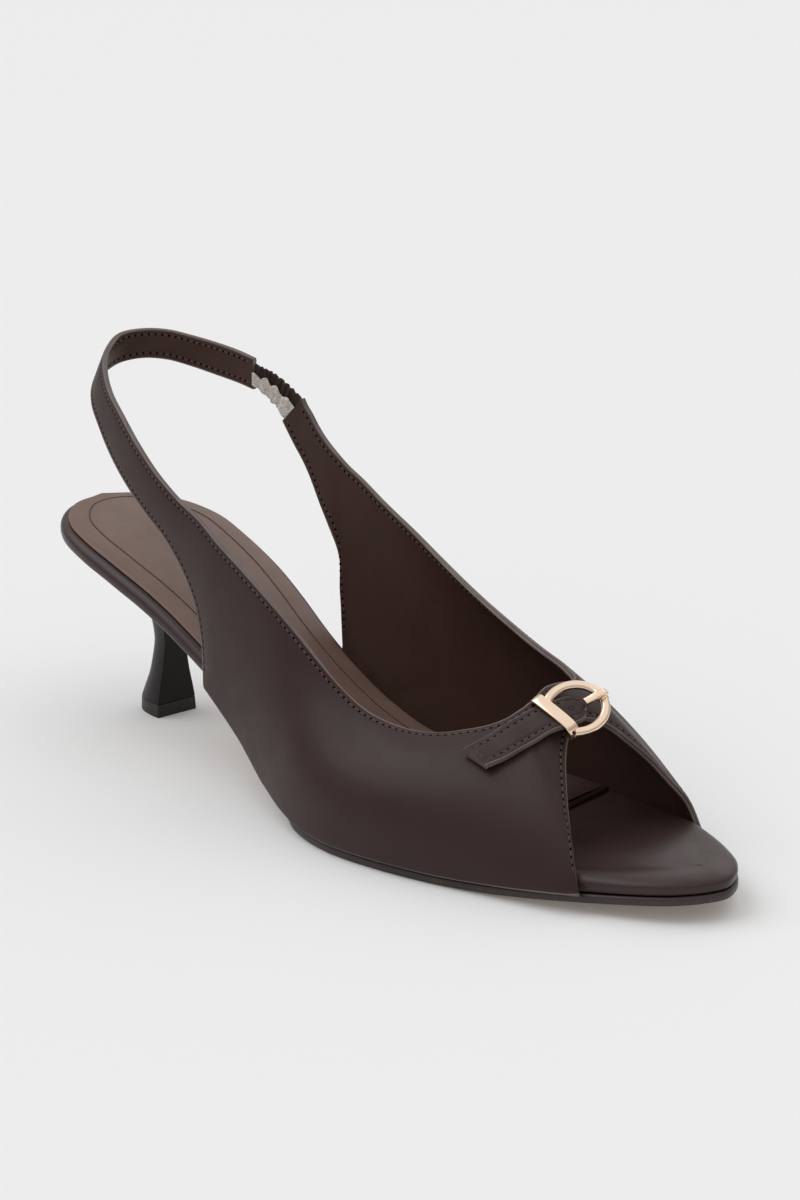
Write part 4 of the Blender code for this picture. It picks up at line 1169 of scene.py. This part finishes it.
def make_gore():
    """Gathered leather cover with a white elastic along its inner face."""
    rows = through(np.array(GORE) * np.tile(SIZES, 2), 70)
    low, high = rows[:, :3], rows[:, 3:]
    count = len(rows)
    u = np.linspace(0, 1, count)
    run = unit(np.gradient((low + high) / 2, axis=0))
    reach = 0.0011 * (np.clip((u - 0.9) / 0.1, 0, 1) - np.clip((0.1 - u) / 0.1, 0, 1))
    low, high = low + run * reach[:, None], high + run * reach[:, None]
    normal = unit(np.cross(run, high - low))
    rise = unit(high - low)
    pull = np.clip(np.minimum(u, 1 - u) / 0.12, 0.0, 1.0)

    def sheet(name, v_low, v_high, thick, shift, waves, deep, bumps, material, node, seed):
        """Bumps: waves along the top edge, their height there and at the foot."""
        columns = 17
        faces = []
        edge_waves, top_bump, low_bump = bumps
        for face in (1, -1):
            grid = np.zeros((count, columns, 3))
            for j in range(columns):
                w = j / (columns - 1)
                v = v_low + (v_high - v_low) * w
                turn = 2 * math.pi * waves * (u + 0.014 * np.sin(9 * u + 5 * v + seed)) + 0.9 * v + seed
                fold = deep * (np.sin(turn) + 0.45 * np.sin(2.3 * turn + 1.3 + 2 * v)) * (0.25 + 0.75 * pull)
                wave = 2 * math.pi * edge_waves * (u + 0.02 * np.sin(7 * u + seed)) + seed
                rim = top_bump * np.sin(wave) * w ** 2 + low_bump * np.sin(wave * 1.6 + 1.0) * (1 - w) ** 2
                base = low + (high - low) * v + rise * (rim * (0.3 + 0.7 * pull))[:, None]
                round_off = 0.45 if j in (0, columns - 1) else 1.0
                grid[:, j] = base + normal * (shift + fold + face * thick / 2 * round_off)[:, None]
            faces.append(grid)
        loop = np.concatenate([faces[0], faces[1][:, ::-1]], 1)
        closed_sweep(name, loop, (material,), node, None, 70.0)

    sheet("gore_gathers", -0.03, 0.98, 0.0010, -0.0001, 9.0, 0.00030, (9.0, 0.00030, 0.00025),
          LEATHER, ("gore_cover",), 0.4)
    sheet("gore_band", 0.03, 0.60, 0.0008, 0.0011, 3.3, 0.00034, (3.3, 0.00075, 0.00025), ELASTIC,
          ("gore_elastic",), 2.1)


def make_stage():
    """Pale floor, a sky that is lighter above, and three soft lights."""
    floor = bpy.data.meshes.new("floor")
    floor.from_pydata([(-12, -12, 0), (12, -12, 0), (12, 12, 0), (-12, 12, 0)], [], [(0, 1, 2, 3)])
    n = Nodes("floor_paper")
    floor.materials.append(n.finish(None, None, Base_Color=(0.78, 0.78, 0.78, 1.0), Roughness=0.9,
                                    Specular_IOR_Level=0.2, Emission_Color=(1.0, 0.985, 0.97, 1.0),
                                    Emission_Strength=0.10))
    item = bpy.data.objects.new("floor", floor)
    bpy.context.scene.collection.objects.link(item)
    world = bpy.data.worlds.new("studio")
    world.use_nodes = True
    tree = world.node_tree
    tree.nodes["Background"].inputs[1].default_value = 0.56
    split = tree.nodes.new("ShaderNodeSeparateXYZ")
    tree.links.new(tree.nodes.new("ShaderNodeTexCoord").outputs["Generated"], split.inputs[0])
    level = tree.nodes.new("ShaderNodeMapRange")
    level.inputs["From Max"].default_value = 0.5
    tree.links.new(split.outputs[2], level.inputs["Value"])
    sky = tree.nodes.new("ShaderNodeMix")
    sky.data_type = "RGBA"
    tree.links.new(level.outputs["Result"], sky.inputs[0])
    sky.inputs[6].default_value = (0.50, 0.49, 0.48, 1.0)
    sky.inputs[7].default_value = (1.10, 1.076, 1.05, 1.0)
    tree.links.new(sky.outputs[2], tree.nodes["Background"].inputs[0])
    bpy.context.scene.world = world

    def far_light(name, towards, strength, spread):
        """Wide soft light from far away, so the floor stays even."""
        light = bpy.data.lights.new(name, "SUN")
        light.energy = strength
        light.angle = math.radians(spread)
        light.color = (0.93, 0.965, 1.0)
        lamp = bpy.data.objects.new(name, light)
        lamp.rotation_mode = "QUATERNION"
        lamp.rotation_quaternion = (-Vector(towards)).to_track_quat("-Z", "Y")
        bpy.context.scene.collection.objects.link(lamp)

    far_light("key", (-0.62, -0.50, 1.0), 0.92, 50.0)
    far_light("top", (0.10, 0.05, 1.0), 0.42, 80.0)
    far_light("back", (-0.45, 0.90, 0.75), 0.20, 45.0)


# Camera fitted to the photo: angles in degrees, place in metres before the shift to the frame's
# origin, focal length, aim and picture height in pixels, sensor in millimetres.
VIEW_AZIMUTH = 45.0
VIEW_ELEVATION = 15.6
CAMERA_PLACE = (0.60245, -0.43271, 0.23112)
FOCAL = 2000
AIM_RIGHT = -72
AIM_UP = 4
PHOTO_TALL = 1200
SENSOR = 36.0
ZOOM = 1.245


def make_camera():
    """Camera at the photograph's place, turned to the one shoe."""
    azimuth, elevation = math.radians(VIEW_AZIMUTH), math.radians(VIEW_ELEVATION)
    back = Vector((math.sin(azimuth) * math.cos(elevation), -math.cos(azimuth) * math.cos(elevation),
                   math.sin(elevation)))
    right = Vector((math.cos(azimuth), math.sin(azimuth), 0.0))
    up = back.cross(right)
    place = Vector(CAMERA_PLACE) + Vector(SHIFT)
    aim = -back + right * (AIM_RIGHT / FOCAL) + up * (AIM_UP / FOCAL)
    data = bpy.data.cameras.new("camera")
    camera = bpy.data.objects.new("camera", data)
    camera.location = place
    camera.rotation_mode = "QUATERNION"
    camera.rotation_quaternion = aim.to_track_quat("-Z", "Y")
    data.sensor_width = SENSOR
    data.lens = SENSOR * FOCAL * ZOOM / PHOTO_TALL
    data.clip_start = 0.02
    data.clip_end = 60.0
    bpy.context.scene.collection.objects.link(camera)
    bpy.context.scene.camera = camera


make_upper()
make_bed_and_sole()
make_sock()
make_heel()
make_buckle_strap()
make_buckle()
make_gore()
make_stage()
make_camera()
bpy.context.scene.view_settings.view_transform = "Standard"
bpy.context.scene.view_settings.look = "None"
